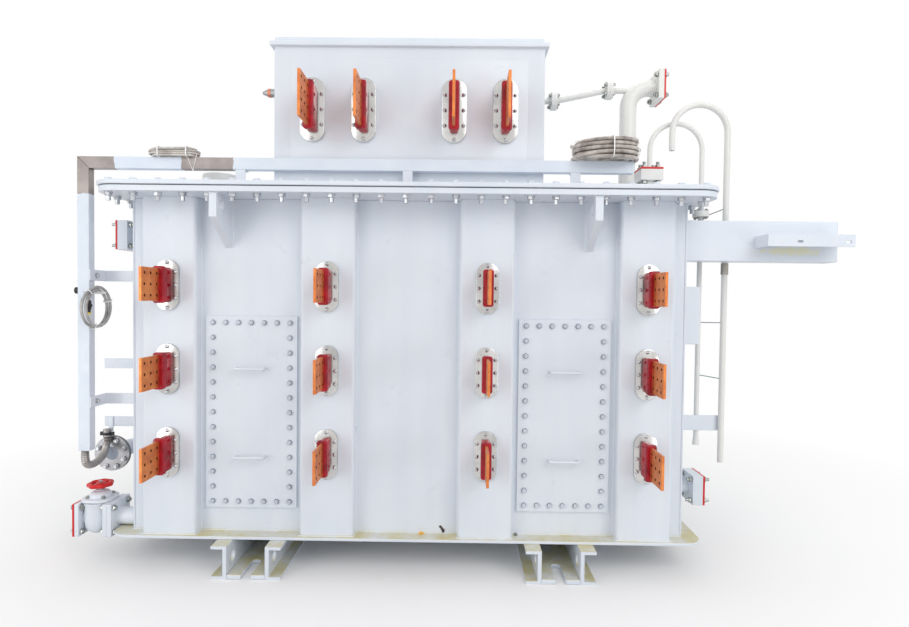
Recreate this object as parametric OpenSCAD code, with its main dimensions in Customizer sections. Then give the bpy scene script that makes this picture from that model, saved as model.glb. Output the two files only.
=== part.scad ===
// Rectifier transformer: a welded steel tank with twelve low-voltage terminals
// on its front, a terminal turret on its cover, pipework, and a cable duct.
// Millimetres. The front faces -Y, +Z is up, and the floor is at zero height.
// The origin is at the bottom centre of the whole part, less its cables.

/* [Tank] */
// Width over the side walls
tank_w = 2680; // [2500:10:3000]
// Depth over the front and back walls
tank_d = 1370; // [1100:10:1600]
// Height of the walls
tank_h = 1620; // [1560:4:1800]
// Thickness of the wall plates
wall_t = 10; // [6:1:16]
// Thickness of the base plate
base_t = 15; // [10:1:25]
// Base plate beyond the front and back walls
base_over = 80; // [70:1:120]
// Base plate beyond the side walls
base_side = 88; // [60:1:120]
// Corner radius of the base plate
base_r = 85; // [40:1:120]

/* [Wall boxes] */
// Width of each box on the front and back walls
box_w = 262; // [220:1:280]
// How far each box stands out
box_d = 60; // [50:1:66]
// Thickness of the box plates
box_t = 10; // [6:1:14]
// Distance between box centres
col_pitch = 760; // [740:1:800]

/* [Cover] */
// Thickness of the tank flange
flange_t = 26; // [16:1:40]
// Flange beyond the box faces, front and back
flange_front = 143; // [125:1:180]
// Flange beyond the side walls
flange_side = 88; // [70:1:110]
// Corner radius of the flange
flange_r = 100; // [60:1:120]
// Thickness of the cover gasket
gasket_t = 4; // [2:1:8]
// How far the gasket lies in from the flange edge
gasket_in = 6; // [2:1:20]
// Thickness of the cover plate
cover_t = 20; // [12:1:30]
// Cover plate beyond the flange
cover_lip = 8; // [2:1:12]

/* [Hatches] */
// Width of each hatch cover
hatch_w = 444; // [400:2:480]
// Height of each hatch cover
hatch_h = 936; // [700:2:1000]
// Thickness of the hatch covers
hatch_t = 12; // [8:1:16]
// Height of the hatch bottom above the base plate
hatch_rise = 117; // [70:1:200]
// Rim of the hatch around its opening
hatch_rim = 45; // [30:1:60]
// Length of a hatch handle
handle_l = 140; // [100:1:180]
// Diameter of the handle bar
handle_dia = 12; // [8:1:18]
// How far the handle stands off the hatch
handle_out = 45; // [35:1:70]
// Distance between the two handles of a hatch
handle_gap = 430; // [300:1:600]

/* [Lifting lugs] */
// Distance of each lug from the middle
lug_x = 873; // [840:1:900]
// Thickness of a lug
lug_t = 36; // [20:1:50]
// How far a lug stands out from the wall
lug_out = 190; // [180:1:230]
// Height of the lug's outer edge
lug_tip_h = 112; // [90:1:140]
// Height of the lug at the wall
lug_root_h = 236; // [180:1:300]
// Radius of the lug hole
lug_hole_r = 28; // [15:1:35]

/* [Feet] */
// Distance of each foot from the middle
foot_x = 733; // [650:1:800]
// Height of the feet
foot_h = 155; // [120:1:200]
// Length of each foot
foot_l = 640; // [500:1:640]
// Foot beyond the base plate
foot_over = 75; // [40:1:120]
// Clear width between the two channels of a foot
foot_gap = 180; // [150:1:220]
// Web thickness of the foot channels
foot_web_t = 18; // [10:1:24]
// Flange width of the foot channels, beyond the web
foot_flange = 55; // [40:1:80]
// Flange thickness of the foot channels
foot_flange_t = 14; // [8:1:20]
// Radius of the round web holes
foot_hole_r = 27; // [15:1:35]
// Thickness of the foot bottom plate
foot_plate_t = 22; // [14:1:30]
// Width of the open slot in the foot bottom plate
foot_slot_w = 46; // [30:1:60]
// Length of the open slot in the foot bottom plate
foot_slot_l = 160; // [100:1:220]

/* [Low-voltage terminals] */
// Height of the lowest row above the base plate
row_rise = 399; // [360:1:430]
// Distance between rows
row_pitch = 400; // [380:1:420]
// Width of a terminal flange
term_w = 110; // [100:1:120]
// Height of a terminal flange
term_h = 242; // [230:1:260]
// Thickness of the terminal flanges
term_t = 15; // [8:1:20]
// Width of the insulator body
ins_w = 42; // [34:1:50]
// Height of the insulator body
ins_h = 164; // [158:1:180]
// Length of the insulator body
ins_l = 55; // [40:1:80]
// How much the insulator's outer lip is wider all round
ins_lip = 4; // [2:1:8]
// Length of the insulator's outer lip
ins_lip_l = 27; // [15:1:40]
// Corner radius of the insulator
ins_r = 12; // [6:1:16]
// Thickness of the copper bars
bar_t = 12; // [8:1:16]
// Height of the copper bars
bar_h = 150; // [145:1:156]
// How far the copper bars reach in front of the wall boxes
bar_out = 240; // [235:1:280]
// How far the copper bars reach inside
bar_in = 40; // [20:1:60]
// Distance between the bar holes
hole_pitch = 50; // [46:1:50]
// Radius of the bar holes
hole_r = 7; // [5:0.5:9]
// Distance of the bar holes from the bar end
hole_edge = 25; // [20:1:30]

/* [Turret] */
// Width of the turret
turret_w = 1276; // [1200:2:1400]
// Depth of the turret
turret_d = 420; // [380:1:600]
// Height of the turret body
turret_h = 680; // [600:1:800]
// Thickness of the turret plates
turret_t = 8; // [5:1:12]
// Rim around the turret top, beyond the body
rim_out = 18; // [8:1:30]
// Thickness of the turret rim
rim_t = 22; // [10:1:25]
// Thickness of the turret lid
lid_t = 26; // [12:1:34]
// How far the lid lies in from the turret's sides
lid_in = 2; // [0:1:4]
// Height of the turret terminals above the cover
turret_row = 361; // [300:1:420]
// Distance from the middle to the inner turret terminals
turret_in_x = 213; // [180:1:260]
// Distance between the terminals of a turret pair
turret_pair = 241; // [200:1:260]
// Width of a turret terminal flange
turret_term_w = 116; // [110:1:130]
// Height of a turret terminal flange
turret_term_h = 300; // [280:1:330]
// Height of the turret insulator body
turret_ins_h = 214; // [208:1:240]
// Height of the turret copper bars
turret_bar_h = 200; // [196:1:206]
// Radius of the bleed plug
plug_r = 20; // [10:1:24]
// Length of the bleed plug
plug_l = 90; // [40:1:110]
// Depth of the bleed plug below the turret top
plug_drop = 203; // [150:1:260]

/* [Pipework] */
// Outer diameter of the large pipes
pipe_dia = 84; // [70:1:90]
// Distance of the top elbow in from the side wall
elbow_in = 224; // [180:1:260]
// Distance of the top elbow from the box faces
elbow_y = 295; // [250:1:400]
// Height of the elbow's level limb above the cover
elbow_rise = 588; // [480:1:640]
// Bend radius of the top elbow
elbow_r = 104; // [60:1:130]
// Length of the elbow's level limb, from its riser to its flange
elbow_l = 135; // [110:1:200]
// Side of the large square flanges
big_flange = 146; // [130:1:180]
// Side of the port flanges
port_flange = 150; // [120:1:160]
// Thickness of one square flange
sq_flange_t = 26; // [16:1:32]
// Thickness of the blanking plates
blank_t = 10; // [5:1:14]
// Outer diameter of the side port pipes
port_dia = 60; // [48:1:76]
// Distance of the side ports from the box faces
port_y = 285; // [250:1:340]
// Height of the left port above the base plate
left_port_rise = 1459; // [1300:1:1500]
// Height of the right port above the base plate
right_port_rise = 174; // [130:1:260]
// Length of the side port pipes, from the wall to the flange
port_l = 122; // [70:1:140]
// Outer diameter of the turret vent pipe
vent_dia = 30; // [20:1:40]
// Diameter of the vent pipe flanges
vent_flange = 92; // [60:1:100]
// Thickness of one vent pipe flange
vent_flange_t = 15; // [8:1:20]
// Length of the vent's stub at the turret
vent_stub = 89; // [60:1:120]
// How much the vent pipe climbs
vent_climb = 58; // [20:1:80]
// Height of the elbow's level limb above the vent pipe's end
vent_drop = 14; // [0:1:30]
// Distance of the vent pipe's last joint from the elbow's riser
vent_reach = 103; // [90:1:130]
// Side of the capped port on the cover
cap_flange = 106; // [90:1:120]
// Distance of the capped port in from the side wall
cap_in = 186; // [160:1:230]
// Distance of the capped port from the box faces
cap_y = 66; // [60:1:120]
// Height of the capped port's pipe
cap_rise = 53; // [20:1:60]

/* [Drain valve] */
// Outer diameter of the drain pipe
drain_dia = 84; // [60:1:86]
// Distance of the drain pipe from the box faces
drain_y = 111; // [110:1:200]
// Height of the drain pipe above the base plate
drain_rise = 45; // [44:1:80]
// Gap between the base plate and the drain pipe's flange
drain_gap = 12; // [2:1:20]
// Side of the valve's square flanges
valve_flange = 160; // [140:1:180]
// Thickness of one valve flange
valve_flange_t = 21; // [14:1:26]
// Length of the valve over its flanges
valve_l = 160; // [148:1:200]
// Diameter of the valve body
valve_dia = 136; // [120:1:140]
// Height of the valve body above the pipe
valve_rise = 82; // [81:1:130]
// Depth of the valve body below the pipe
valve_sink = 76; // [60:1:84]
// Diameter of the bonnet flange
bonnet_dia = 146; // [140:1:160]
// Thickness of the bonnet flange
bonnet_t = 14; // [8:1:20]
// Height of the bonnet cone
bonnet_h = 34; // [20:1:50]
// Diameter of the handwheel
wheel_dia = 128; // [110:1:150]
// Diameter of the handwheel rim
wheel_rim = 20; // [14:1:24]
// Height of the handwheel above the bonnet
wheel_rise = 28; // [24:1:50]
// Diameter of the valve stem
stem_dia = 20; // [14:1:26]
// Length of the stem in the bonnet
stem_in = 30; // [20:1:34]
// Clearance of the stem in its bore, on the radius
stem_gap = 0.05; // [0.02:0.01:0.1]

/* [Round port] */
// Diameter of the round flange
round_dia = 186; // [160:1:200]
// Thickness of the round flange
round_t = 22; // [14:1:28]
// Distance of the round port from the side wall
round_out = 256; // [200:1:266]
// Height of the round port above the base plate
round_rise = 305; // [260:1:320]
// Distance of the round port's face from the box faces
round_y = 290; // [285:1:340]
// Length of the round port's straight pipe
round_l = 60; // [30:1:120]
// Bend radius of the round port
round_bend = 120; // [90:1:150]
// Inner diameter of the round port
round_bore = 70; // [50:1:76]
// Depth of the round port's open bore
round_bore_l = 60; // [40:1:80]
// Diameter of the round port's bolt circle
round_pcd = 145; // [120:1:150]
// Radius of the round port's bolt holes
round_hole_r = 9; // [6:0.5:10]
// Number of bolt holes in the round port
round_holes = 8; // [4:1:8]

/* [Support beam] */
// Length of the support beam
beam_l = 752; // [600:1:900]
// Height of the support beam
beam_h = 198; // [160:1:240]
// Depth of the support beam
beam_d = 100; // [70:1:120]
// Plate thickness of the support beam
beam_t = 12; // [8:1:16]
// Height of the beam above the base plate
beam_rise = 1348; // [1290:1:1380]
// Distance of the beam behind the front wall's face
beam_in = 35; // [0:1:60]
// Length of the front rail
rail_l = 405; // [300:1:500]
// Height of the front rail
rail_h = 57; // [40:1:80]
// How far the rail stands in front of the beam
rail_out = 122; // [90:1:150]
// Height of the rail above the bottom of the beam
rail_rise = 64; // [40:1:100]
// Plate thickness of the rail
rail_t = 10; // [6:1:14]
// Length of the rail slots
rail_slot_l = 28; // [20:1:36]
// Width of the rail slots
rail_slot_w = 12; // [8:1:18]
// Distance between the rail slots
rail_slot_gap = 225; // [180:1:260]
// Distance of the outer slot from the rail end
rail_slot_edge = 30; // [24:1:60]

/* [Breather pipes] */
// Outer diameter of the tall breather pipe
tall_dia = 30; // [24:1:34]
// Distance of the tall pipe from the side wall
tall_out = 277; // [240:1:320]
// Width of the tall pipe's arch
tall_span = 284; // [240:1:320]
// Height of the tall arch above the cover
tall_rise = 490; // [480:1:600]
// Height of the tall pipe's foot above the floor
tall_foot = 484; // [400:1:560]
// Height of the tall pipe's open end above the cover
tall_end = 255; // [160:1:300]
// Outer diameter of the small breather pipe
small_dia = 25; // [18:1:28]
// Distance of the small pipe from the side wall
small_out = 164; // [140:1:174]
// Width of the small pipe's arch
small_span = 272; // [260:1:290]
// Height of the small arch above the cover
small_rise = 404; // [380:1:450]
// Diameter of the small pipe's flanges
small_flange = 80; // [60:1:80]
// Height of the small pipe's foot above the floor
small_foot = 566; // [480:1:600]
// Distance of the small pipe from the box faces
small_y = 290; // [280:1:330]
// Height of the pipe bracket above the floor
clip_z = 645; // [600:1:700]
// Height of the pipe bracket's plate
clip_h = 80; // [60:1:100]
// Thickness of the pipe bracket
clip_t = 10; // [6:1:14]

/* [Control box] */
// How far the control box stands out from the side wall
ctrl_out = 110; // [60:1:120]
// Width of the control box
ctrl_w = 200; // [140:1:240]
// Height of the control box
ctrl_h = 288; // [240:1:360]
// Height of the control box above the base plate
ctrl_rise = 935; // [860:1:960]
// Distance of the control box from the box faces
ctrl_y = 140; // [120:1:180]

/* [Cable duct] */
// Height of the tray, and width of the upright duct
duct_w = 55; // [40:1:60]
// Depth of the tray and the duct
duct_d = 41; // [34:1:42]
// Plate thickness of the tray and the duct
duct_t = 3; // [2:0.5:4]
// Gap between the tray and the turret
duct_gap = 4; // [1:1:10]
// Height of the tray above the cover
tray_rise = 70; // [50:1:110]
// Distance of the tray's right end in from the side wall
tray_in = 290; // [280:1:400]
// Gap between the flange's end and the duct
duct_out = 55; // [40:1:70]
// Height of the duct's bottom above the floor
duct_foot = 579; // [549:1:649]
// Thickness of the duct's bottom plate
duct_foot_t = 6; // [4:1:10]
// Width of a tray bracket
tray_clip_w = 46; // [30:1:60]
// Distance between tray brackets
tray_clip_gap = 780; // [700:1:860]
// Thickness of brackets and duct bars
strap_t = 6; // [4:1:8]
// How far the tray brackets reach in front of the tray
tray_clip_l = 56; // [40:1:70]
// Height of the duct bars
strap_h = 52; // [36:1:60]
// Height of the upper front duct bar above the floor
strap_high = 1385; // [1375:1:1410]
// Height of the lower front duct bar above the floor
strap_low = 784; // [750:1:810]
// Height of the upper rear duct bar above the floor
rear_high = 929; // [890:1:970]
// Height of the lower rear duct bar above the floor
rear_low = 619; // [609:1:639]
// Length of the rear duct bars
rear_l = 300; // [260:1:320]
// Distance of the rear duct bars from the box faces
rear_y = 300; // [300:1:340]
// Radius of the hose gland
gland_r = 25; // [20:1:30]
// Length of the hose gland
gland_l = 48; // [36:1:60]

/* [Cover fittings] */
// Radius of the round pedestal
pedestal_r = 90; // [60:1:110]
// Height of the round pedestal
pedestal_h = 100; // [50:1:110]
// Distance of the pedestal in from the side wall
pedestal_in = 350; // [310:1:460]
// Distance of the pedestal from the box faces
pedestal_y = 240; // [200:1:300]
// Radius of the small fitting
fitting_r = 32; // [20:1:40]
// Height of the small fitting
fitting_h = 58; // [40:1:80]
// Distance of the small fitting in from the side wall
fitting_in = 340; // [330:1:400]
// Distance of the small fitting from the box faces
fitting_y = 150; // [120:1:180]

/* [Cables] */
// Outer diameter of the large cable coil
coil_dia = 330; // [280:1:340]
// Inner diameter of the large cable coil
coil_bore = 170; // [120:1:200]
// Height of the large cable coil
coil_h = 112; // [80:1:130]
// Length of the flat cable coil
flat_l = 250; // [220:1:280]
// Width of the flat cable coil, over its round ends
flat_dia = 92; // [84:1:110]
// Inner width of the flat cable coil
flat_bore = 48; // [40:1:60]
// Height of the flat cable coil
flat_h = 44; // [30:1:60]
// Outer diameter of the hanging coil
hang_dia = 210; // [180:1:230]
// Thickness of the hanging coil
hang_t = 30; // [20:1:32]
// Diameter of the hose
hose_dia = 36; // [30:1:40]

/* [Hidden] */
// Overrun of every cut
cut = 1;
// Gap between a coil or a pipe and what it rests on
rest_gap = 0.3;
$fn = 64;

// Heights from the floor up
wall_z0 = foot_h + base_t;
wall_z1 = wall_z0 + tank_h;
gasket_z = wall_z1 + flange_t;
cover_z = gasket_z + gasket_t;
top_z = cover_z + cover_t;
turret_top = top_z + turret_h;

// Depths, with the box faces at zero
front_y = box_d;
back_y = box_d + tank_d;
beam_y = front_y + beam_in;
mid_y = (front_y + back_y) / 2;
base_w = tank_w + 2 * base_side;
base_d = tank_d + 2 * base_over;
flange_w = tank_w + 2 * flange_side;
flange_d = tank_d + 2 * box_d + 2 * flange_front;
cols = [for (i = [0:3]) (i - 1.5) * col_pitch];
rows = [for (i = [0:2]) wall_z0 + row_rise + i * row_pitch];
turret_cols = [-turret_in_x - turret_pair, -turret_in_x, turret_in_x, turret_in_x + turret_pair];
turret_z = top_z + turret_row;
side_x = tank_w / 2;

// Drain valve, from the left wall outward
drain_z = wall_z0 + drain_rise;
drain_l = base_side + drain_gap;
drain_face_x = side_x + drain_l + valve_flange_t;
valve_x = drain_face_x + valve_l / 2;
valve_top = drain_z + valve_rise;
cone_top = valve_top + bonnet_t + bonnet_h;
wheel_z = cone_top + wheel_rise;
wheel_hub_r = 1.3 * stem_dia;
wheel_spoke_t = 0.6 * wheel_rim;

// Tray and duct
tray_right = side_x - tray_in;
tray_z = top_z + tray_rise;
tray_y1 = -duct_gap;
tray_y0 = tray_y1 - duct_d;
duct_x1 = max(flange_w / 2 + cover_lip, max(cols) + box_w / 2) + duct_out;
duct_x0 = duct_x1 + duct_w;
tray_y = (tray_y0 + tray_y1) / 2;

// What stands on the cover, by its distance from the side walls
cap_x = side_x - cap_in;
pedestal_x = side_x - pedestal_in;
fitting_x = side_x - fitting_in;

// Vent pipe, between the turret and the elbow
elbow_x = side_x - elbow_in;
elbow_z = top_z + elbow_rise;
vent_z1 = elbow_z - vent_drop;
vent_z0 = vent_z1 - vent_climb;
vent_x0 = turret_w / 2 + vent_stub;
vent_x1 = elbow_x - vent_reach;

// Breather pipes
tall_x = side_x + tall_out;
small_x = side_x + small_out;
clip_y1 = small_y - small_dia / 2 - rest_gap;
clip_y0 = clip_y1 - clip_t;
tall_y = clip_y0 - rest_gap - tall_dia / 2;

// Middle of the whole part, less its cables
left_end = max(drain_face_x + valve_l + blank_t, side_x + round_out + round_dia / 2);
right_end = side_x + beam_l;
back_end = mid_y + flange_d / 2 + cover_lip;
origin_x = (right_end - left_end) / 2;
origin_y = (back_end - bar_out) / 2;

// Route of the hose, from the duct's bottom plate to its gland, beside the foot of the duct
hose_sides = 12;
hose_route = [
    [-36, -24, 0], [-36, -24, -35], [-39, -12, -66], [-47, 24, -86], [-59, 80, -94],
    [-75, 146, -92], [-93, 204, -80], [-107, 243, -60], [-113, 265, -32], [-113, 265, -8]];
hose_end = hose_route[len(hose_route) - 1];

// Where the coils lie
coil_in = 130;
coil_gap = 10;
flat_in = 396;
hang_in = 21;
coil_x = max(tray_right - coil_in, turret_w / 2 + rim_out + coil_gap + coil_dia / 2);
flat_x = -duct_x1 + flat_in;
hang_x = -duct_x1 + hang_in;
hang_z = 1259;
hang_turn = 90;
peg_r = 6;
peg_l = 66;
peg_drop = 0.3;
plug_tip_share = 0.35;
pin_r = 9;
pin_l = 66;

// Every piece is drawn from the tank's own middle, then moved to the origin
module framed() translate([-origin_x, -origin_y, 0]) children();

// A box between two corners
module block(lo, hi) translate(lo) cube(hi - lo);

// A round bar along X from one point
module bar_x(at, l, r) translate(at) rotate([0, 90, 0]) cylinder(h = l, r = r);

// A flat shape in the front plane, thickened toward the front
module forward(at, l) translate(at) rotate([90, 0, 0]) linear_extrude(l) children();

module rounded_rect(w, h, r) {
    square([w - 2 * r, h], center = true);
    square([w, h - 2 * r], center = true);
    for (sx = [-1, 1], sy = [-1, 1]) translate([sx * (w / 2 - r), sy * (h / 2 - r)]) circle(r);
}

module stadium(w, h) {
    square([w, h - w], center = true);
    for (s = [-1, 1]) translate([0, s * (h - w) / 2]) circle(w / 2);
}

// The slot that a copper bar fills, through a piece between two depths
module bar_slot(y0, y1, h) block([-bar_t / 2, y0 - cut, -h / 2], [bar_t / 2, y1 + cut, h / 2]);

module at_terminals() for (x = cols, z = rows) translate([x, 0, z]) children();
module at_turret_terminals() for (x = turret_cols) translate([x, 0, turret_z]) children();

module terminal_flange(w, h, slot_h) difference() {
    forward([0, 0, 0], term_t) stadium(w, h);
    bar_slot(-term_t, 0, slot_h);
}

module insulator(h, slot_h) difference() {
    union() {
        forward([0, -term_t, 0], ins_l) rounded_rect(ins_w, h, ins_r);
        forward([0, -term_t - ins_l, 0], ins_lip_l) rounded_rect(ins_w + 2 * ins_lip, h + 2 * ins_lip, ins_r);
    }
    bar_slot(-term_t - ins_l - ins_lip_l, -term_t, slot_h);
}

module copper_bar(h, holes) difference() {
    block([-bar_t / 2, -bar_out, -h / 2], [bar_t / 2, bar_in, h / 2]);
    for (c = [0:2], r = [0:holes - 1])
        translate([0, -bar_out + hole_edge + c * hole_pitch, (r - (holes - 1) / 2) * hole_pitch])
            rotate([0, 90, 0]) cylinder(h = bar_t + 2 * cut, r = hole_r, center = true);
}

module base_plate() color("gainsboro") framed()
    translate([0, mid_y, foot_h]) linear_extrude(base_t) rounded_rect(base_w, base_d, base_r);

module front_wall() color("aliceblue") framed() difference() {
    block([-side_x, front_y, wall_z0], [side_x, front_y + wall_t, wall_z1]);
    for (s = [-1, 1]) translate([s * col_pitch, 0, wall_z0 + hatch_rise])
        block([-hatch_w / 2 + hatch_rim, front_y - cut, hatch_rim],
              [hatch_w / 2 - hatch_rim, front_y + wall_t + cut, hatch_h - hatch_rim]);
}

module back_wall() color("aliceblue") framed()
    block([-side_x, back_y - wall_t, wall_z0], [side_x, back_y, wall_z1]);

module side_wall(s) translate([s * (side_x - wall_t / 2), 0, 0])
    block([-wall_t / 2, front_y + wall_t, wall_z0], [wall_t / 2, back_y - wall_t, wall_z1]);

module left_wall() color("aliceblue") framed() side_wall(-1);
module right_wall() color("aliceblue") framed() side_wall(1);

// A box of three plates, open toward the wall
module wall_box() difference() {
    block([-box_w / 2, 0, wall_z0], [box_w / 2, box_d, wall_z1]);
    block([-box_w / 2 + box_t, box_t, wall_z0 - cut], [box_w / 2 - box_t, box_d + cut, wall_z1 + cut]);
}

module front_boxes() color("aliceblue") framed() for (x = cols) translate([x, 0, 0]) difference() {
    wall_box();
    for (z = rows) translate([0, 0, z]) bar_slot(0, box_t, bar_h);
}

module back_boxes() color("aliceblue") framed()
    for (x = cols) translate([x, 2 * mid_y, 0]) mirror([0, 1, 0]) wall_box();

module flange_outline(grow) rounded_rect(flange_w + 2 * grow, flange_d + 2 * grow, flange_r + grow);
module tank_opening() square([tank_w - 2 * wall_t, tank_d - 2 * wall_t], center = true);

module tank_flange() color("white") framed() translate([0, mid_y, wall_z1]) linear_extrude(flange_t)
    difference() { flange_outline(0); tank_opening(); }

module cover_gasket() color("dimgray") framed() translate([0, mid_y, gasket_z]) linear_extrude(gasket_t)
    difference() { flange_outline(-gasket_in); tank_opening(); }

module cover_plate() color("white") framed()
    translate([0, mid_y, cover_z]) linear_extrude(cover_t) flange_outline(cover_lip);

module hatch_handle() {
    grip_y = -handle_out + handle_dia / 2;
    bar_x([-handle_l / 2, grip_y, 0], handle_l, handle_dia / 2);
    for (s = [-1, 1]) translate([s * handle_l / 2, grip_y, 0]) {
        sphere(handle_dia / 2);
        rotate([-90, 0, 0]) cylinder(h = -grip_y, r = handle_dia / 2);
    }
}

module hatch_covers() color("aliceblue") framed()
    for (s = [-1, 1]) translate([s * col_pitch, front_y - hatch_t, wall_z0 + hatch_rise]) {
        block([-hatch_w / 2, 0, 0], [hatch_w / 2, hatch_t, hatch_h]);
        for (k = [-1, 1]) translate([0, 0, (hatch_h + k * handle_gap) / 2]) hatch_handle();
    }

module lifting_lug() difference() {
    translate([-lug_t / 2, 0, 0]) rotate([90, 0, 90]) linear_extrude(lug_t)
        polygon([[0, 0], [-lug_out, 0], [-lug_out, -lug_tip_h], [0, -lug_root_h]]);
    bar_x([-lug_t / 2 - cut, -lug_out + lug_tip_h / 2, -lug_tip_h / 2], lug_t + 2 * cut, lug_hole_r);
}

module lifting_lugs() color("white") framed() for (s = [-1, 1]) {
    translate([s * lug_x, front_y, wall_z1]) lifting_lug();
    translate([s * lug_x, back_y, wall_z1]) mirror([0, 1, 0]) lifting_lug();
}

// The four feet, each with its front end at zero depth
module at_feet() for (s = [-1, 1]) {
    translate([s * foot_x, front_y - base_over - foot_over, 0]) children();
    translate([s * foot_x, 2 * mid_y - front_y + base_over + foot_over, 0]) mirror([0, 1, 0]) children();
}

module foot_channel() difference() {
    block([foot_gap / 2, 0, 0], [foot_gap / 2 + foot_web_t + foot_flange, foot_l, foot_h]);
    block([foot_gap / 2 + foot_web_t, -cut, foot_flange_t],
          [foot_gap / 2 + foot_web_t + foot_flange + cut, foot_l + cut, foot_h - foot_flange_t]);
    for (y = [foot_slot_l / 2, foot_l - foot_slot_l / 2])
        bar_x([foot_gap / 2 - cut, y, foot_h / 2], foot_web_t + 2 * cut, foot_hole_r);
}

module foot_channels() color("white") framed() at_feet() for (m = [0, 1]) mirror([m, 0, 0]) foot_channel();

module foot_plates() color("lightgray") framed() at_feet() difference() {
    block([-foot_gap / 2, 0, 0], [foot_gap / 2, foot_l, foot_plate_t]);
    block([-foot_slot_w / 2, -cut, -cut], [foot_slot_w / 2, foot_slot_l - foot_slot_w / 2, foot_plate_t + cut]);
    translate([0, foot_slot_l - foot_slot_w / 2, -cut]) cylinder(h = foot_plate_t + 2 * cut, r = foot_slot_w / 2);
}

module lv_flanges() color("silver") framed() at_terminals() terminal_flange(term_w, term_h, bar_h);
module lv_insulators() color("firebrick") framed() at_terminals() insulator(ins_h, bar_h);
module lv_bars() color("peru") framed() at_terminals() copper_bar(bar_h, 3);

module turret_box() color("aliceblue") framed() difference() {
    union() {
        block([-turret_w / 2, 0, top_z], [turret_w / 2, turret_d, turret_top]);
        block([-turret_w / 2 - rim_out, -rim_out, turret_top - rim_t],
              [turret_w / 2 + rim_out, turret_d + rim_out, turret_top]);
    }
    block([-turret_w / 2 + turret_t, turret_t, top_z - cut],
          [turret_w / 2 - turret_t, turret_d - turret_t, turret_top + cut]);
    at_turret_terminals() bar_slot(0, turret_t, turret_bar_h);
}

module turret_lid() color("white") framed()
    block([-turret_w / 2 + lid_in, lid_in, turret_top],
          [turret_w / 2 - lid_in, turret_d - lid_in, turret_top + lid_t]);

module turret_plug() color("darkgoldenrod") framed()
    translate([-turret_w / 2, turret_d / 4, turret_top - plug_drop]) rotate([0, -90, 0]) {
        cylinder(h = plug_l * (1 - plug_tip_share), r = plug_r);
        translate([0, 0, plug_l * (1 - plug_tip_share)])
            cylinder(h = plug_l * plug_tip_share, r1 = plug_r, r2 = plug_r * plug_tip_share);
    }

module turret_flanges() color("silver") framed()
    at_turret_terminals() terminal_flange(turret_term_w, turret_term_h, turret_bar_h);
module turret_insulators() color("firebrick") framed() at_turret_terminals() insulator(turret_ins_h, turret_bar_h);
module turret_bars() color("peru") framed() at_turret_terminals() copper_bar(turret_bar_h, 4);

// A square flange whose face looks along X
module square_flange(x, side, t) block([x, -side / 2, -side / 2], [x + t, side / 2, side / 2]);

module elbow_pipe() color("white") framed() translate([elbow_x, elbow_y, 0]) {
    translate([0, 0, top_z]) cylinder(h = elbow_rise - elbow_r, r = pipe_dia / 2);
    translate([elbow_r, 0, elbow_z - elbow_r]) rotate([90, 0, 0]) rotate([0, 0, 90])
        rotate_extrude(angle = 90) translate([elbow_r, 0]) circle(pipe_dia / 2);
    bar_x([elbow_r, 0, elbow_z], elbow_l - elbow_r, pipe_dia / 2);
    translate([elbow_l, 0, elbow_z]) square_flange(0, big_flange, sq_flange_t);
    bar_x([-vent_reach, 0, vent_z1], vent_reach + pipe_dia / 2, vent_dia / 2);
    bar_x([-vent_reach, 0, vent_z1], vent_flange_t, vent_flange / 2);
}

module vent_pipe() color("white") framed() translate([0, elbow_y, 0]) {
    run = vent_x1 - vent_x0 - vent_flange_t;
    slope = atan2(vent_climb, run);
    bar_x([turret_w / 2, 0, vent_z0], vent_stub, vent_dia / 2);
    bar_x([vent_x0 - vent_flange_t, 0, vent_z0], 2 * vent_flange_t, vent_flange / 2);
    bar_x([vent_x1 - vent_flange_t, 0, vent_z1], vent_flange_t, vent_flange / 2);
    translate([vent_x0, 0, vent_z0]) rotate([0, 90 - slope, 0])
        cylinder(h = norm([run, vent_climb]), r = vent_dia / 2);
}

module cover_port() color("white") framed() translate([cap_x, cap_y, top_z]) {
    cylinder(h = cap_rise, r = cap_flange / 3);
    for (k = [0, 1]) translate([-cap_flange / 2, -cap_flange / 2, cap_rise + k * sq_flange_t])
        cube([cap_flange, cap_flange, sq_flange_t]);
}

// A side port, drawn on the right wall
module side_port() {
    bar_x([side_x, 0, 0], port_l, port_dia / 2);
    translate([side_x + port_l, 0, 0]) square_flange(0, port_flange, 2 * sq_flange_t);
}

module left_port() color("white") framed()
    translate([0, port_y, wall_z0 + left_port_rise]) mirror([1, 0, 0]) side_port();
module right_port() color("white") framed() translate([0, port_y, wall_z0 + right_port_rise]) side_port();

module round_port() color("gainsboro") framed()
    translate([-side_x - round_out, round_y, wall_z0 + round_rise]) difference() {
        union() {
            rotate([-90, 0, 0]) cylinder(h = round_t, r = round_dia / 2);
            rotate([-90, 0, 0]) cylinder(h = round_t + round_l, r = pipe_dia / 2);
            translate([round_bend, round_t + round_l, 0]) rotate([0, 0, 90])
                rotate_extrude(angle = 90) translate([round_bend, 0]) circle(pipe_dia / 2);
            bar_x([round_bend, round_t + round_l + round_bend, 0], round_out - round_bend, pipe_dia / 2);
        }
        translate([0, -cut, 0]) rotate([-90, 0, 0]) cylinder(h = round_bore_l + cut, r = round_bore / 2);
        for (k = [1:round_holes]) rotate([0, (k - 0.5) * 360 / round_holes, 0])
            translate([round_pcd / 2, -cut, 0]) rotate([-90, 0, 0])
                cylinder(h = round_t + 2 * cut, r = round_hole_r);
    }

module drain_pipe() color("white") framed() translate([0, drain_y, drain_z]) mirror([1, 0, 0]) {
    bar_x([side_x, 0, 0], drain_l, drain_dia / 2);
    square_flange(side_x + drain_l, valve_flange, valve_flange_t);
}

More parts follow.
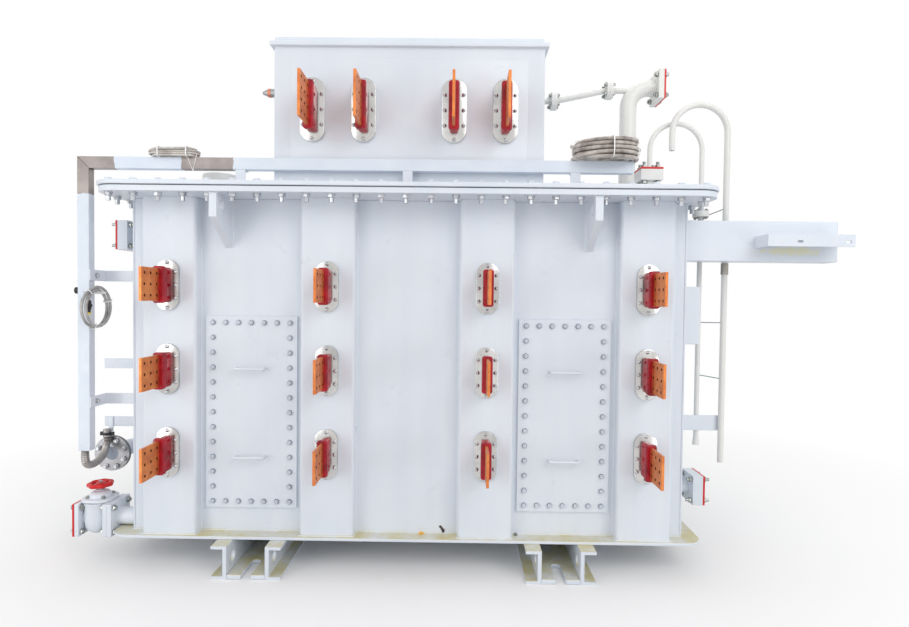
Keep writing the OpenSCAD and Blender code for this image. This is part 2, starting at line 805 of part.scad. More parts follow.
module drain_valve() color("white") framed() translate([-valve_x, drain_y, 0]) difference() {
    union() {
        translate([0, 0, drain_z - valve_sink]) cylinder(h = valve_sink + valve_rise, r = valve_dia / 2);
        for (k = [0, 1]) mirror([k, 0, 0]) translate([0, 0, drain_z]) {
            square_flange(valve_l / 2 - valve_flange_t, valve_flange, valve_flange_t);
            bar_x([0, 0, 0], valve_l / 2, drain_dia / 2);
        }
        translate([0, 0, valve_top]) cylinder(h = bonnet_t, r = bonnet_dia / 2);
        translate([0, 0, valve_top + bonnet_t]) cylinder(h = bonnet_h, r1 = bonnet_dia / 3, r2 = stem_dia);
    }
    translate([0, 0, cone_top - stem_in]) cylinder(h = stem_in + cut, r = stem_dia / 2 + stem_gap);
}

module valve_handwheel() color("red") framed() translate([-valve_x, drain_y, wheel_z]) {
    rotate_extrude() translate([wheel_dia / 2 - wheel_rim / 2, 0]) circle(wheel_rim / 2);
    translate([0, 0, -wheel_rim / 2]) cylinder(h = wheel_rim, r = wheel_hub_r);
    for (a = [0:120:359]) rotate([0, 0, a])
        block([0, -wheel_spoke_t, -wheel_spoke_t / 2], [(wheel_dia - wheel_rim) / 2, wheel_spoke_t, wheel_spoke_t / 2]);
    translate([0, 0, -wheel_rise - stem_in]) cylinder(h = wheel_rise + stem_in, r = stem_dia / 2);
}

module port_blanks() color("red") framed() {
    translate([elbow_x + elbow_l + sq_flange_t, elbow_y, elbow_z]) square_flange(0, big_flange, blank_t);
    translate([cap_x - cap_flange / 2, cap_y - cap_flange / 2, top_z + cap_rise + 2 * sq_flange_t])
        cube([cap_flange, cap_flange, blank_t]);
    translate([0, port_y, wall_z0 + right_port_rise])
        square_flange(side_x + port_l + 2 * sq_flange_t, port_flange, blank_t);
    translate([0, port_y, wall_z0 + left_port_rise]) mirror([1, 0, 0])
        square_flange(side_x + port_l + 2 * sq_flange_t, port_flange, blank_t);
    translate([0, drain_y, drain_z]) mirror([1, 0, 0]) square_flange(drain_face_x + valve_l, valve_flange, blank_t);
}

module support_beam() color("white") framed() translate([side_x, beam_y, wall_z0 + beam_rise]) difference() {
    block([0, 0, 0], [beam_l, beam_d, beam_h]);
    block([-cut, beam_t, beam_t], [beam_l + cut, beam_d + cut, beam_h - beam_t]);
}

module beam_rail() color("white") framed()
    translate([right_end - rail_l, beam_y - rail_out, wall_z0 + beam_rise + rail_rise]) difference() {
        union() {
            block([0, 0, 0], [rail_l, rail_t, rail_h]);
            block([0, 0, rail_h - rail_t], [rail_l, rail_out, rail_h]);
            block([0, 0, 0], [rail_t, rail_out, rail_h]);
        }
        for (k = [0, 1]) translate([rail_l - rail_slot_edge - k * rail_slot_gap, rail_t + cut, (rail_h - rail_t) / 2])
            rotate([90, 0, 0]) linear_extrude(rail_t + 2 * cut) rotate(90) stadium(rail_slot_w, rail_slot_l);
    }

// An arch of pipe over the point between its two limbs
module pipe_arch(span, r) rotate([90, 0, 0]) rotate_extrude(angle = 180) translate([span / 2, 0]) circle(r);

module tall_breather() color("white") framed() translate([tall_x - tall_span / 2, tall_y, 0]) difference() {
    spring = top_z + tall_rise - tall_span / 2;
    union() {
        translate([0, 0, spring]) pipe_arch(tall_span, tall_dia / 2);
        translate([tall_span / 2, 0, tall_foot]) cylinder(h = spring - tall_foot, r = tall_dia / 2);
        translate([-tall_span / 2, 0, top_z + tall_end]) cylinder(h = spring - top_z - tall_end, r = tall_dia / 2);
    }
    translate([-tall_span / 2, 0, top_z + tall_end - cut]) cylinder(h = tall_dia + cut, r = tall_dia / 3);
    translate([tall_span / 2, 0, tall_foot - cut]) cylinder(h = tall_dia + cut, r = tall_dia / 3);
}

module small_breather() color("white") framed() translate([small_x - small_span / 2, small_y, 0]) {
    spring = top_z + small_rise - small_span / 2;
    translate([0, 0, spring]) pipe_arch(small_span, small_dia / 2);
    translate([small_span / 2, 0, small_foot]) cylinder(h = spring - small_foot, r = small_dia / 2);
    translate([-small_span / 2, 0, top_z]) cylinder(h = spring - top_z, r = small_dia / 2);
    translate([small_span / 2, 0, wall_z1 - 2 * vent_flange_t]) cylinder(h = 2 * vent_flange_t, r = small_flange / 2);
    translate([small_span / 2, 0, small_foot]) cylinder(h = 2 * small_dia, r1 = 0.7 * small_dia, r2 = small_dia / 2);
}

module pipe_bracket() color("white") framed()
    block([side_x, clip_y0, clip_z], [tall_x + tall_dia / 2, clip_y1, clip_z + clip_h]);

module control_box() color("white") framed() translate([side_x, ctrl_y, wall_z0 + ctrl_rise])
    cube([ctrl_out, ctrl_w, ctrl_h]);

module cable_tray() color("lightsteelblue") framed() difference() {
    forward([0, tray_y1, 0], duct_d) polygon([
        [-duct_x0, tray_z + duct_w], [tray_right, tray_z + duct_w], [tray_right, tray_z], [-duct_x1, tray_z]]);
    block([-duct_x1 + duct_t, tray_y0 + duct_t, tray_z + duct_t],
          [tray_right + cut, tray_y1 - duct_t, tray_z + duct_w - duct_t]);
}

module upright_duct() color("lightsteelblue") framed() difference() {
    forward([0, tray_y1, 0], duct_d) polygon([
        [-duct_x0, tray_z + duct_w], [-duct_x1, tray_z], [-duct_x1, duct_foot], [-duct_x0, duct_foot]]);
    block([-duct_x0 + duct_t, tray_y0 + duct_t, duct_foot + duct_foot_t],
          [-duct_x1 - duct_t, tray_y1 - duct_t, tray_z - duct_t]);
}

module tray_brackets() color("white") framed() for (k = [-1:1])
    translate([k * tray_clip_gap - tray_clip_w / 2, 0, 0]) {
        block([0, tray_y0 - tray_clip_l, top_z], [tray_clip_w, tray_y0 + strap_t, top_z + strap_t]);
        block([0, tray_y0, top_z], [tray_clip_w, tray_y0 + strap_t, tray_z]);
        block([0, tray_y0, tray_z - strap_t], [tray_clip_w, tray_y1, tray_z]);
    }

// A flat bar from the left wall that turns forward to the duct's side
module front_strap(z) {
    block([-duct_x1, front_y + wall_t, z], [-side_x, front_y + wall_t + strap_t, z + strap_h]);
    block([-duct_x1, tray_y0, z], [-duct_x1 + strap_t, front_y + wall_t + strap_t, z + strap_h]);
}

module duct_bars() color("white") framed() {
    for (z = [strap_high, strap_low]) front_strap(z);
    for (z = [rear_high, rear_low]) block([-side_x - rear_l, rear_y, z], [-side_x, rear_y + strap_t, z + strap_h]);
}

// The hose's route starts at the inner edge of the duct's foot
module at_duct_foot() translate([-duct_x1, 0, duct_foot]) children();

module hose_gland() color("dimgray") framed() at_duct_foot() translate(hose_end) {
    cylinder(h = gland_l, r = gland_r);
    block([-gland_r / 2, 0, 0], [gland_r / 2, rear_y - hose_end[1], rear_low + strap_h - duct_foot - hose_end[2]]);
}

module coil_peg() color("silver") framed()
    bar_x([-duct_x1, tray_y, hang_z + hang_dia / 2 - hang_t - peg_r - peg_drop], peg_l, peg_r);

module cover_fittings() color("gainsboro") framed() {
    translate([-pedestal_x, pedestal_y, top_z]) cylinder(h = pedestal_h, r = pedestal_r);
    translate([fitting_x, fitting_y, top_z]) cylinder(h = fitting_h, r = fitting_r);
}

// A closed ring of the outer shape of a coil
module coil(dia, bore, h) rotate_extrude() translate([bore / 2, 0]) square([(dia - bore) / 2, h]);

module large_coil() color("tan") framed()
    translate([coil_x, tray_y, tray_z + duct_w + rest_gap]) coil(coil_dia, coil_bore, coil_h);

module flat_coil() color("tan") framed()
    translate([flat_x, tray_y, tray_z + duct_w + rest_gap]) linear_extrude(flat_h) rotate(90) difference() {
        stadium(flat_dia, flat_l);
        stadium(flat_bore, flat_l - flat_dia + flat_bore);
    }

module hanging_coil() color("tan") framed()
    translate([hang_x, tray_y, hang_z]) rotate([90, 0, hang_turn]) translate([0, 0, -hang_t / 2])
        coil(hang_dia, hang_dia - 2 * hang_t, hang_t);

module coil_connector() color("black") framed() {
    drop = sqrt(pow(hang_dia / 2 - hang_t, 2) - pow(pin_l / 2, 2)) - pin_r - rest_gap;
    translate([hang_x - drop * cos(hang_turn), tray_y - drop * sin(hang_turn), hang_z - pin_l / 2])
        cylinder(h = pin_l, r = pin_r);
}

// A tube of flat-sided rings along a route
function unit(v) = v / norm(v);
function heading(p, i) = unit(p[min(i + 1, len(p) - 1)] - p[max(i - 1, 0)]);
function ring(p, i, r, n, side) = let (t = heading(p, i), u = unit(cross(t, side)), w = cross(t, u))
    [for (k = [0:n - 1]) p[i] + r * (cos(360 * k / n) * u + sin(360 * k / n) * w)];
function tube_faces(m, n) = concat(
    [[for (k = [0:n - 1]) k]],
    [for (i = [0:m - 2], k = [0:n - 1])
        [i * n + k, (i + 1) * n + k, (i + 1) * n + (k + 1) % n, i * n + (k + 1) % n]],
    [[for (k = [n - 1:-1:0]) (m - 1) * n + k]]);

module tube(p, r, n, side)
    polyhedron([for (i = [0:len(p) - 1]) each ring(p, i, r, n, side)], tube_faces(len(p), n), convexity = 4);

module conduit_hose() color("gray") framed() at_duct_foot() tube(hose_route, hose_dia / 2, hose_sides, [1, 0, 0]);

base_plate();
front_wall();
back_wall();
left_wall();
right_wall();
front_boxes();
back_boxes();
tank_flange();
cover_gasket();
cover_plate();
hatch_covers();
lifting_lugs();
foot_channels();
foot_plates();
lv_flanges();
lv_insulators();
lv_bars();
turret_box();
turret_lid();
turret_plug();
turret_flanges();
turret_insulators();
turret_bars();
elbow_pipe();
vent_pipe();
cover_port();
left_port();
right_port();
round_port();
drain_pipe();
drain_valve();
valve_handwheel();
port_blanks();
support_beam();
beam_rail();
tall_breather();
small_breather();
pipe_bracket();
control_box();
cable_tray();
upright_duct();
tray_brackets();
duct_bars();
hose_gland();
coil_peg();
cover_fittings();
large_coil();
flat_coil();
hanging_coil();
coil_connector();
conduit_hose();
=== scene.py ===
"""Looks of the rectifier transformer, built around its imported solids, in metres."""
import math
import random

import bmesh
import bpy
from mathutils import Matrix, Vector
from mathutils.geometry import interpolate_bezier


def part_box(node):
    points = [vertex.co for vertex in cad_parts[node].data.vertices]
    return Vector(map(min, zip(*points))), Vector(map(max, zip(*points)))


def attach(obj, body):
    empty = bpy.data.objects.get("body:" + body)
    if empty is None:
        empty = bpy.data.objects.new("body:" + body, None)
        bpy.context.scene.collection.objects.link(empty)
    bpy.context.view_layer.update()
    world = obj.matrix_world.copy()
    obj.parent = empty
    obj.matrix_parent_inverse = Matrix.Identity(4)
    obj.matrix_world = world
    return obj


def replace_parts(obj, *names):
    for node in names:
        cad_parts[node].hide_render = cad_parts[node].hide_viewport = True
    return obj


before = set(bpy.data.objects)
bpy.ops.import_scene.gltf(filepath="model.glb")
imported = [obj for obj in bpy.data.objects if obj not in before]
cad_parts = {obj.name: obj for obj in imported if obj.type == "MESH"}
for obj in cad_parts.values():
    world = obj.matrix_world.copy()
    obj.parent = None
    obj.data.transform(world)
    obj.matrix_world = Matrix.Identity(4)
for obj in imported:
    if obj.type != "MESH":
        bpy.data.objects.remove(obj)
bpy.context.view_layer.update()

# Tank shell
# The real tank is welded from rolled plate, blasted and sprayed with a pale blue-grey gloss.
# Its sheared edges are broken with a grinder before painting, so every plate has a small round.
PLATE_ROUND = 0.003
FOLD_R = 0.016
FOLD_STEPS = 5
FOLD_LONG = 1.0
SHARP = 0.7
MERGE = 1e-5
FLAT_ANGLE = 0.01
CLOUD_SPAN = (0.3, 0.7)
PAINT = (0.745, 0.790, 0.850, 1)
PAINT_SHADE = (0.690, 0.742, 0.815, 1)
DUST = (0.610, 0.555, 0.310, 1)
DUST_TOP = 0.19
CHIP = (0.030, 0.010, 0.008, 1)
OCHRE = (0.780, 0.430, 0.040, 1)
GREY_SPOT = (0.180, 0.180, 0.150, 1)
WALL_CHIPS = (((-0.0345, -0.6405, 0.200), (0.008, 0.02, 0.008), 150.0, CHIP),
              ((-0.0270, -0.6405, 0.191), (0.008, 0.02, 0.009), 150.0, CHIP),
              ((-0.0205, -0.6405, 0.182), (0.010, 0.02, 0.011), 150.0, CHIP),
              ((0.3330, -0.6520, 0.171), (0.012, 0.02, 0.008), 150.0, GREY_SPOT),
              ((-0.1276, -0.6520, 0.170), (0.016, 0.02, 0.010), 150.0, OCHRE))


def add_node(tree, kind, inputs=None, **settings):
    """A shader node; each input takes a value, or the socket that feeds it."""
    node = tree.nodes.new("ShaderNode" + kind)
    for name, value in settings.items():
        setattr(node, name, value)
    for name, value in (inputs or {}).items():
        if isinstance(value, bpy.types.NodeSocket):
            tree.links.new(value, node.inputs[name])
        else:
            node.inputs[name].default_value = value
    return node


def blend_colours(tree, factor, first, second):
    """A colour between two others."""
    return add_node(tree, "Mix", {0: factor, 6: first, 7: second}, data_type="RGBA").outputs[2]


def darker(colour, share):
    """A colour turned down to a share of itself."""
    return [share * c for c in colour[:3]] + [1]


def ramp(tree, value, low, high, start=0.0, end=1.0):
    """A value stretched from one range to another, and held there."""
    node = add_node(tree, "MapRange", {"Value": value, "From Min": low, "From Max": high,
                                       "To Min": start, "To Max": end})
    return node.outputs["Result"]


def noise(tree, where, scale, detail=3.0, rough=0.55):
    """Cloudy noise over a place."""
    settings = {"Vector": where, "Scale": scale, "Detail": detail, "Roughness": rough}
    return add_node(tree, "TexNoise", settings).outputs["Fac"]


def combine(tree, operation, first, second, **settings):
    """Two values put through one operation."""
    return add_node(tree, "Math", {0: first, 1: second}, operation=operation, **settings).outputs[0]


def here(tree):
    """Object coordinates."""
    return add_node(tree, "TexCoord").outputs["Object"]


def feed(tree, node, **sockets):
    """Links sockets to the inputs that they are named after."""
    for name, socket in sockets.items():
        tree.links.new(socket, node.inputs[name.replace("_", " ")])


def stretched(tree, scale):
    """Object coordinates, drawn out along an axis by a small scale."""
    return add_node(tree, "Mapping", {"Vector": here(tree), "Scale": scale}).outputs["Vector"]


def shader_group(name, inputs, outputs):
    """An empty shader group with named number sockets, and its two ends."""
    tree = bpy.data.node_groups.new(name, "ShaderNodeTree")
    for socket, value in inputs.items():
        made = tree.interface.new_socket(socket, in_out="INPUT", socket_type="NodeSocketFloat")
        made.default_value = value
    for socket in outputs:
        tree.interface.new_socket(socket, in_out="OUTPUT", socket_type="NodeSocketFloat")
    return tree, tree.nodes.new("NodeGroupInput"), tree.nodes.new("NodeGroupOutput")


def use_group(tree, group):
    """The outputs of a placed shader group."""
    return add_node(tree, "Group", node_tree=group).outputs


def build_sprayed_skin():
    """Cloudy tone, uneven gloss and the orange peel of a sprayed coat."""
    tree, given, out = shader_group("sprayed_skin", {"Patch": 1.4, "Peel": 210.0},
                                    ("Tone", "Gloss", "Height"))
    place = here(tree)
    streak = noise(tree, stretched(tree, (5.0, 5.0, 0.5)), 1.6, 4.0)
    patch = noise(tree, place, given.outputs["Patch"], 4.0)
    feed(tree, out, Tone=ramp(tree, combine(tree, "ADD", streak, patch), 0.72, 1.28),
         Gloss=noise(tree, place, 7.0, 5.0), Height=noise(tree, place, given.outputs["Peel"], 2.0))
    return tree


def build_settled_dust():
    """Dust that lies on what faces up, below a height, thick in random patches and thin elsewhere."""
    tree, given, out = shader_group("settled_dust", {"Level": DUST_TOP, "Fade": 0.02}, ("Mask",))
    place = here(tree)
    height = add_node(tree, "SeparateXYZ", {0: place}).outputs["Z"]
    drop = combine(tree, "SUBTRACT", given.outputs["Level"], height)
    low = combine(tree, "DIVIDE", drop, given.outputs["Fade"], use_clamp=True)
    facing = add_node(tree, "NewGeometry").outputs["Normal"]
    up = ramp(tree, add_node(tree, "SeparateXYZ", {0: facing}).outputs["Z"], 0.3, 0.9)
    cover = ramp(tree, noise(tree, place, 9.0, 6.0, 0.65), 0.34, 0.62, 0.25, 1.0)
    feed(tree, out, Mask=combine(tree, "MULTIPLY", combine(tree, "MULTIPLY", low, up), cover))
    return tree


sprayed_skin = build_sprayed_skin()
settled_dust = build_settled_dust()


def principled(name, **sockets):
    """A material with plain values on its Principled shader, its node tree and that shader."""
    material = bpy.data.materials.new(name)
    material.use_nodes = True
    shader = material.node_tree.nodes["Principled BSDF"]
    for socket, value in sockets.items():
        shader.inputs[socket.replace("_", " ")].default_value = value
    return material, material.node_tree, shader


def roughen(tree, shader, height, distance):
    """Bump on a shader."""
    bump = add_node(tree, "Bump", {"Height": height, "Distance": distance, "Strength": 1.0})
    feed(tree, shader, Normal=bump.outputs["Normal"])


def ragged_patch(tree, centre, half, ragged):
    """One inside a rounded patch about a centre, and zero outside its ragged edge."""
    place = here(tree)
    apart = add_node(tree, "VectorMath", {0: place, 1: centre}, operation="SUBTRACT").outputs[0]
    share = add_node(tree, "VectorMath", {0: apart, 1: half}, operation="DIVIDE").outputs[0]
    reach = add_node(tree, "VectorMath", {0: share}, operation="LENGTH").outputs["Value"]
    wobble = ramp(tree, noise(tree, place, ragged), *CLOUD_SPAN, -0.35, 0.35)
    return ramp(tree, combine(tree, "ADD", reach, wobble), 0.6, 1.1, 1.0, 0.0)


def sprayed_paint(name, colour, shade, dusty=False, gloss=(0.26, 0.44), marks=()):
    """Sprayed paint in two close tones, with dust on the low flat places, and marks."""
    material, tree, shader = principled(name, Specular_IOR_Level=0.45)
    skin = use_group(tree, sprayed_skin)
    tone = blend_colours(tree, skin["Tone"], shade, colour)
    if dusty:
        tone = blend_colours(tree, use_group(tree, settled_dust)["Mask"], tone, DUST)
    for centre, half, ragged, blotch in marks:
        tone = blend_colours(tree, ragged_patch(tree, centre, half, ragged), tone, blotch)
    feed(tree, shader, Base_Color=tone, Roughness=ramp(tree, skin["Gloss"], *CLOUD_SPAN, *gloss))
    roughen(tree, shader, skin["Height"], distance=0.00012)
    return material


def finished(bm, name, material, body="transformer", crease=0.6):
    """The mesh as a piece that rides on a body, smooth except at its creases."""
    mesh = bpy.data.meshes.new(name)
    bm.to_mesh(mesh)
    bm.free()
    mesh.shade_smooth()
    mesh.set_sharp_from_angle(angle=crease)
    mesh.materials.append(material)
    piece = bpy.data.objects.new(name, mesh)
    bpy.context.scene.collection.objects.link(piece)
    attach(piece, body)
    return piece


def bevelled(bm, edges, width, segments, **settings):
    """Rounds edges, or chamfers them with a single segment."""
    return bmesh.ops.bevel(bm, geom=edges, offset=width, offset_type="OFFSET", segments=segments,
                           profile=0.5, affect="EDGES", material=-1, **settings)


def soften(bm, test, width, segments=2):
    """Rounds the sharp edges that pass a test."""
    sharp = [e for e in bm.edges if len(e.link_faces) == 2 and e.calc_face_angle() > SHARP and test(e)]
    bevelled(bm, sharp, width, segments, clamp_overlap=True)


def round_edged(node, material, width=PLATE_ROUND, body="transformer", fold=None, flat=True):
    """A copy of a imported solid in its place, with its sharp edges rounded, and its folded ones more."""
    bm = bmesh.new()
    bm.from_mesh(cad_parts[node].data)
    bmesh.ops.remove_doubles(bm, verts=bm.verts, dist=MERGE)
    if flat:
        bmesh.ops.dissolve_limit(bm, angle_limit=FLAT_ANGLE, verts=bm.verts, edges=bm.edges)
    if fold:
        soften(bm, fold, FOLD_R, FOLD_STEPS)
    soften(bm, lambda edge: True, width)
    piece = finished(bm, node + "_rounded", material, body)
    piece.modifiers.new("even_shading", "WEIGHTED_NORMAL").keep_sharp = True
    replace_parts(piece, node)
    return piece


def folded_at(face_y):
    """A test for the long upright edges in a face of the wall boxes."""
    def upright(edge):
        first, second = (v.co for v in edge.verts)
        return abs(first.z - second.z) > FOLD_LONG and abs(first.y - face_y) < 1e-4
    return upright


tank_paint = sprayed_paint("tank_paint", PAINT, PAINT_SHADE, dusty=True, marks=WALL_CHIPS)
for node in ("base_plate", "front_wall", "back_wall", "left_wall", "right_wall", "tank_flange",
             "cover_plate"):
    round_edged(node, tank_paint)
round_edged("front_boxes", tank_paint, fold=folded_at(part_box("front_boxes")[0].y))
round_edged("back_boxes", tank_paint, fold=folded_at(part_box("back_boxes")[1].y))

# Tank welds
# Fillet welds run along the foot of the walls and up the corners where each box meets its wall.
# They are hand-laid steel beads under the same paint, so they read as thin soft ridges.
WELD_R = 0.005
BOX_W = 0.262
BOX_COUNT = 4
wall_lo, wall_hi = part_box("front_wall")
boxes_lo, boxes_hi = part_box("front_boxes")
back_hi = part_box("back_wall")[1]
back_boxes_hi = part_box("back_boxes")[1]


def spaced(first, last, count):
    """Evenly spaced places from the first to the last."""
    return [first + (last - first) * i / (count - 1) for i in range(count)]


def bead(bm, start, end, radius=WELD_R, sides=8):
    """A straight run of weld between two points."""
    start, end = Vector(start), Vector(end)
    aim = (end - start).to_track_quat("Z", "Y").to_matrix().to_4x4()
    bmesh.ops.create_cone(bm, cap_ends=True, segments=sides, radius1=radius, radius2=radius,
                          depth=(end - start).length, matrix=Matrix.Translation((start + end) / 2) @ aim)


box_xs = spaced(boxes_lo.x + BOX_W / 2, boxes_hi.x - BOX_W / 2, BOX_COUNT)
welds = bmesh.new()
for wall_y, face_y in ((wall_lo.y, boxes_lo.y), (back_hi.y, back_boxes_hi.y)):
    bead(welds, (wall_lo.x, wall_y, wall_lo.z), (wall_hi.x, wall_y, wall_lo.z))
    for x in box_xs:
        bead(welds, (x - BOX_W / 2, face_y, wall_lo.z), (x + BOX_W / 2, face_y, wall_lo.z))
        for edge_x in (x - BOX_W / 2, x + BOX_W / 2):
            bead(welds, (edge_x, wall_y, wall_lo.z), (edge_x, wall_y, wall_hi.z))
            bead(welds, (edge_x, wall_y, wall_lo.z), (edge_x, face_y, wall_lo.z))
for x in (wall_lo.x, wall_hi.x):
    bead(welds, (x, wall_lo.y, wall_lo.z), (x, back_hi.y, wall_lo.z))
    for y in (wall_lo.y, back_hi.y):
        bead(welds, (x, y, wall_lo.z), (x, y, wall_hi.z))
finished(welds, "tank_welds", tank_paint)

# Cover joint
# A dark rubber gasket is squeezed between the flange and the cover.
# Bolts go down through both all the way round, with plain washers, and nuts on the stud ends below.
GASKET = (0.085, 0.095, 0.100, 1)
ZINC = (0.640, 0.660, 0.690, 1)
BOLT_IN = 0.040
BOLTS_ACROSS = 25
BOLTS_DEEP = 14
CORNER_CLEAR = (0.066, 0.150)
BOLT_AF = 0.030
HEAD_H = 0.013
NUT_H = 0.016
CHAMFER = 0.12
BOLT_CREASE = 0.5
WASHER_R = 0.0185
WASHER_T = 0.003
STUD_L = 0.020
STUD_R = 0.010
SEED = 4


def edges_of(verts):
    """Every edge that ends at some vertices, each once and in a settled order."""
    return list(dict.fromkeys(e for v in verts for e in v.link_edges))


def disc(bm, radius, height, base=0.0, sides=16):
    """A short round piece standing on a height."""
    return bmesh.ops.create_cone(bm, cap_ends=True, segments=sides, radius1=radius, radius2=radius,
                                 depth=height, matrix=Matrix.Translation((0, 0, base + height / 2)))


def hex_part(bm, across, height, base=0.0):
    """A hexagon head or nut with chamfered corners, standing on a height."""
    made = disc(bm, across / math.sqrt(3), height, base, sides=6)
    top = [e for e in edges_of(made["verts"]) if all(v.co.z > base + height * 0.9 for v in e.verts)]
    bevelled(bm, top, CHAMFER * across, segments=1)


def template(*makers):
    """One small mesh, to be set down many times."""
    bm = bmesh.new()
    for make in makers:
        make(bm)
    mesh = bpy.data.meshes.new("template")
    bm.to_mesh(mesh)
    bm.free()
    return mesh


def aimed(at, axis, spin=0.0):
    """A place whose own upward axis points along a direction."""
    turn = Vector(axis).to_track_quat("Z", "Y").to_matrix().to_4x4()
    return Matrix.Translation(at) @ turn @ Matrix.Rotation(spin, 4, "Z")


def set_down(bm, mesh, place):
    """A copy of a small mesh at a place."""
    before = len(bm.verts)
    bm.from_mesh(mesh)
    bm.verts.ensure_lookup_table()
    bmesh.ops.transform(bm, matrix=place, verts=bm.verts[before:])


def fasteners(bm, name, material, body="transformer"):
    """Bolts, nuts or studs as one piece, with crisp corners."""
    return finished(bm, name, material, body, BOLT_CREASE)


def lone_piece(name, material, slot, place, *makers):
    """A piece made about its own origin, and set down in its place."""
    bm = bmesh.new()
    set_down(bm, template(*makers), place)
    return finished(bm, name, material)


def plated_metal(name, colour, gloss=(0.24, 0.45)):
    """Plated or bare fastener metal, slightly uneven."""
    material, tree, shader = principled(name, Metallic=1.0, Base_Color=colour)
    place = here(tree)
    tone = blend_colours(tree, noise(tree, place, 25.0), colour, darker(colour, 0.72))
    feed(tree, shader, Base_Color=tone, Roughness=ramp(tree, noise(tree, place, 60.0), *CLOUD_SPAN, *gloss))
    return material


def rubber_like(name, colour, gloss=0.7):
    """Dull rubber or plastic with a fine uneven skin."""
    material, tree, shader = principled(name, Roughness=gloss, Specular_IOR_Level=0.3)
    place = here(tree)
    lighter = [min(1.0, 1.5 * c + 0.01) for c in colour[:3]] + [1]
    feed(tree, shader, Base_Color=blend_colours(tree, noise(tree, place, 30.0), colour, lighter))
    roughen(tree, shader, noise(tree, place, 420.0), distance=0.0003)
    return material


zinc = plated_metal("zinc", ZINC)
gasket_rubber = rubber_like("gasket_rubber", GASKET)
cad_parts["cover_gasket"].data.materials.clear()
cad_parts["cover_gasket"].data.materials.append(gasket_rubber)

bolt_head = template(lambda bm: disc(bm, WASHER_R, WASHER_T),
                     lambda bm: hex_part(bm, BOLT_AF, HEAD_H, WASHER_T))
nut_and_stud = template(lambda bm: disc(bm, WASHER_R, WASHER_T),
                        lambda bm: hex_part(bm, BOLT_AF, NUT_H, WASHER_T),
                        lambda bm: disc(bm, STUD_R, STUD_L, WASHER_T + NUT_H, sides=10))
flange_lo, flange_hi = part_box("tank_flange")
cover_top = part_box("cover_plate")[1].z
bolt_xs = spaced(flange_lo.x + CORNER_CLEAR[0], flange_hi.x - CORNER_CLEAR[0], BOLTS_ACROSS)
bolt_ys = spaced(flange_lo.y + CORNER_CLEAR[1], flange_hi.y - CORNER_CLEAR[1], BOLTS_DEEP)
bolt_places = [(x, y) for x in bolt_xs for y in (flange_lo.y + BOLT_IN, flange_hi.y - BOLT_IN)]
bolt_places += [(x, y) for y in bolt_ys for x in (flange_lo.x + BOLT_IN, flange_hi.x - BOLT_IN)]
turns = random.Random(SEED)
heads = bmesh.new()
nuts = bmesh.new()
for x, y in bolt_places:
    set_down(heads, bolt_head, aimed((x, y, cover_top), (0, 0, 1), turns.uniform(0, math.pi)))
    set_down(nuts, nut_and_stud, aimed((x, y, flange_lo.z), (0, 0, -1), turns.uniform(0, math.pi)))
fasteners(heads, "cover_bolt_heads", tank_paint)
fasteners(nuts, "cover_bolt_nuts", zinc)

# Inspection hatches
# Each hatch is a flat plate bolted over an opening, with two bent-rod handles welded on.
# Its bolt heads were painted with the tank and stand on washers; the heads take a darker copy of that paint
# and the washers a much darker one, as painted shade round each bolt.
HATCH_W = 0.444
HATCH_BOLTS = (7, 13)
HATCH_MARGIN = (0.0345, 0.031)
HATCH_AF = 0.019
HATCH_HEAD = 0.010
HATCH_WASHER = 0.0128
HATCH_T = 0.012
# Painted shade: head and washer colours are darkened copies of the tank paint, standing for the shade on and
# round each bolt.
HEAD_SHADED_PAINT = ((0.62, 0.67, 0.74, 1), (0.48, 0.53, 0.60, 1))
WASHER_SHADE_PAINT = ((0.29, 0.33, 0.40, 1), (0.20, 0.24, 0.30, 1))
bolt_shaded_paint = sprayed_paint("bolt_shaded_paint", *HEAD_SHADED_PAINT, gloss=(0.2, 0.35))
washer_shade_paint = sprayed_paint("washer_shade_paint", *WASHER_SHADE_PAINT, gloss=(0.3, 0.5))
round_edged("hatch_covers", tank_paint, width=0.0015)
hatches_lo, hatches_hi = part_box("hatch_covers")
hatch_face = hatches_hi.y - HATCH_T
hatch_bolt = template(lambda bm: hex_part(bm, HATCH_AF, HATCH_HEAD, WASHER_T))
hatch_washer = template(lambda bm: disc(bm, HATCH_WASHER, WASHER_T))
hatch_bolts = bmesh.new()
hatch_washers = bmesh.new()
for left in (hatches_lo.x, hatches_hi.x - HATCH_W):
    xs = spaced(left + HATCH_MARGIN[0], left + HATCH_W - HATCH_MARGIN[0], HATCH_BOLTS[0])
    zs = spaced(hatches_lo.z + HATCH_MARGIN[1], hatches_hi.z - HATCH_MARGIN[1], HATCH_BOLTS[1])
    ring = [(x, z) for x in xs for z in (zs[0], zs[-1])]
    ring += [(x, z) for z in zs[1:-1] for x in (xs[0], xs[-1])]
    for x, z in ring:
        spot = (x, hatch_face, z)
        set_down(hatch_bolts, hatch_bolt, aimed(spot, (0, -1, 0), turns.uniform(0, math.pi)))
        set_down(hatch_washers, hatch_washer, aimed(spot, (0, -1, 0)))
fasteners(hatch_bolts, "hatch_bolts", bolt_shaded_paint)
fasteners(hatch_washers, "hatch_washers", washer_shade_paint)

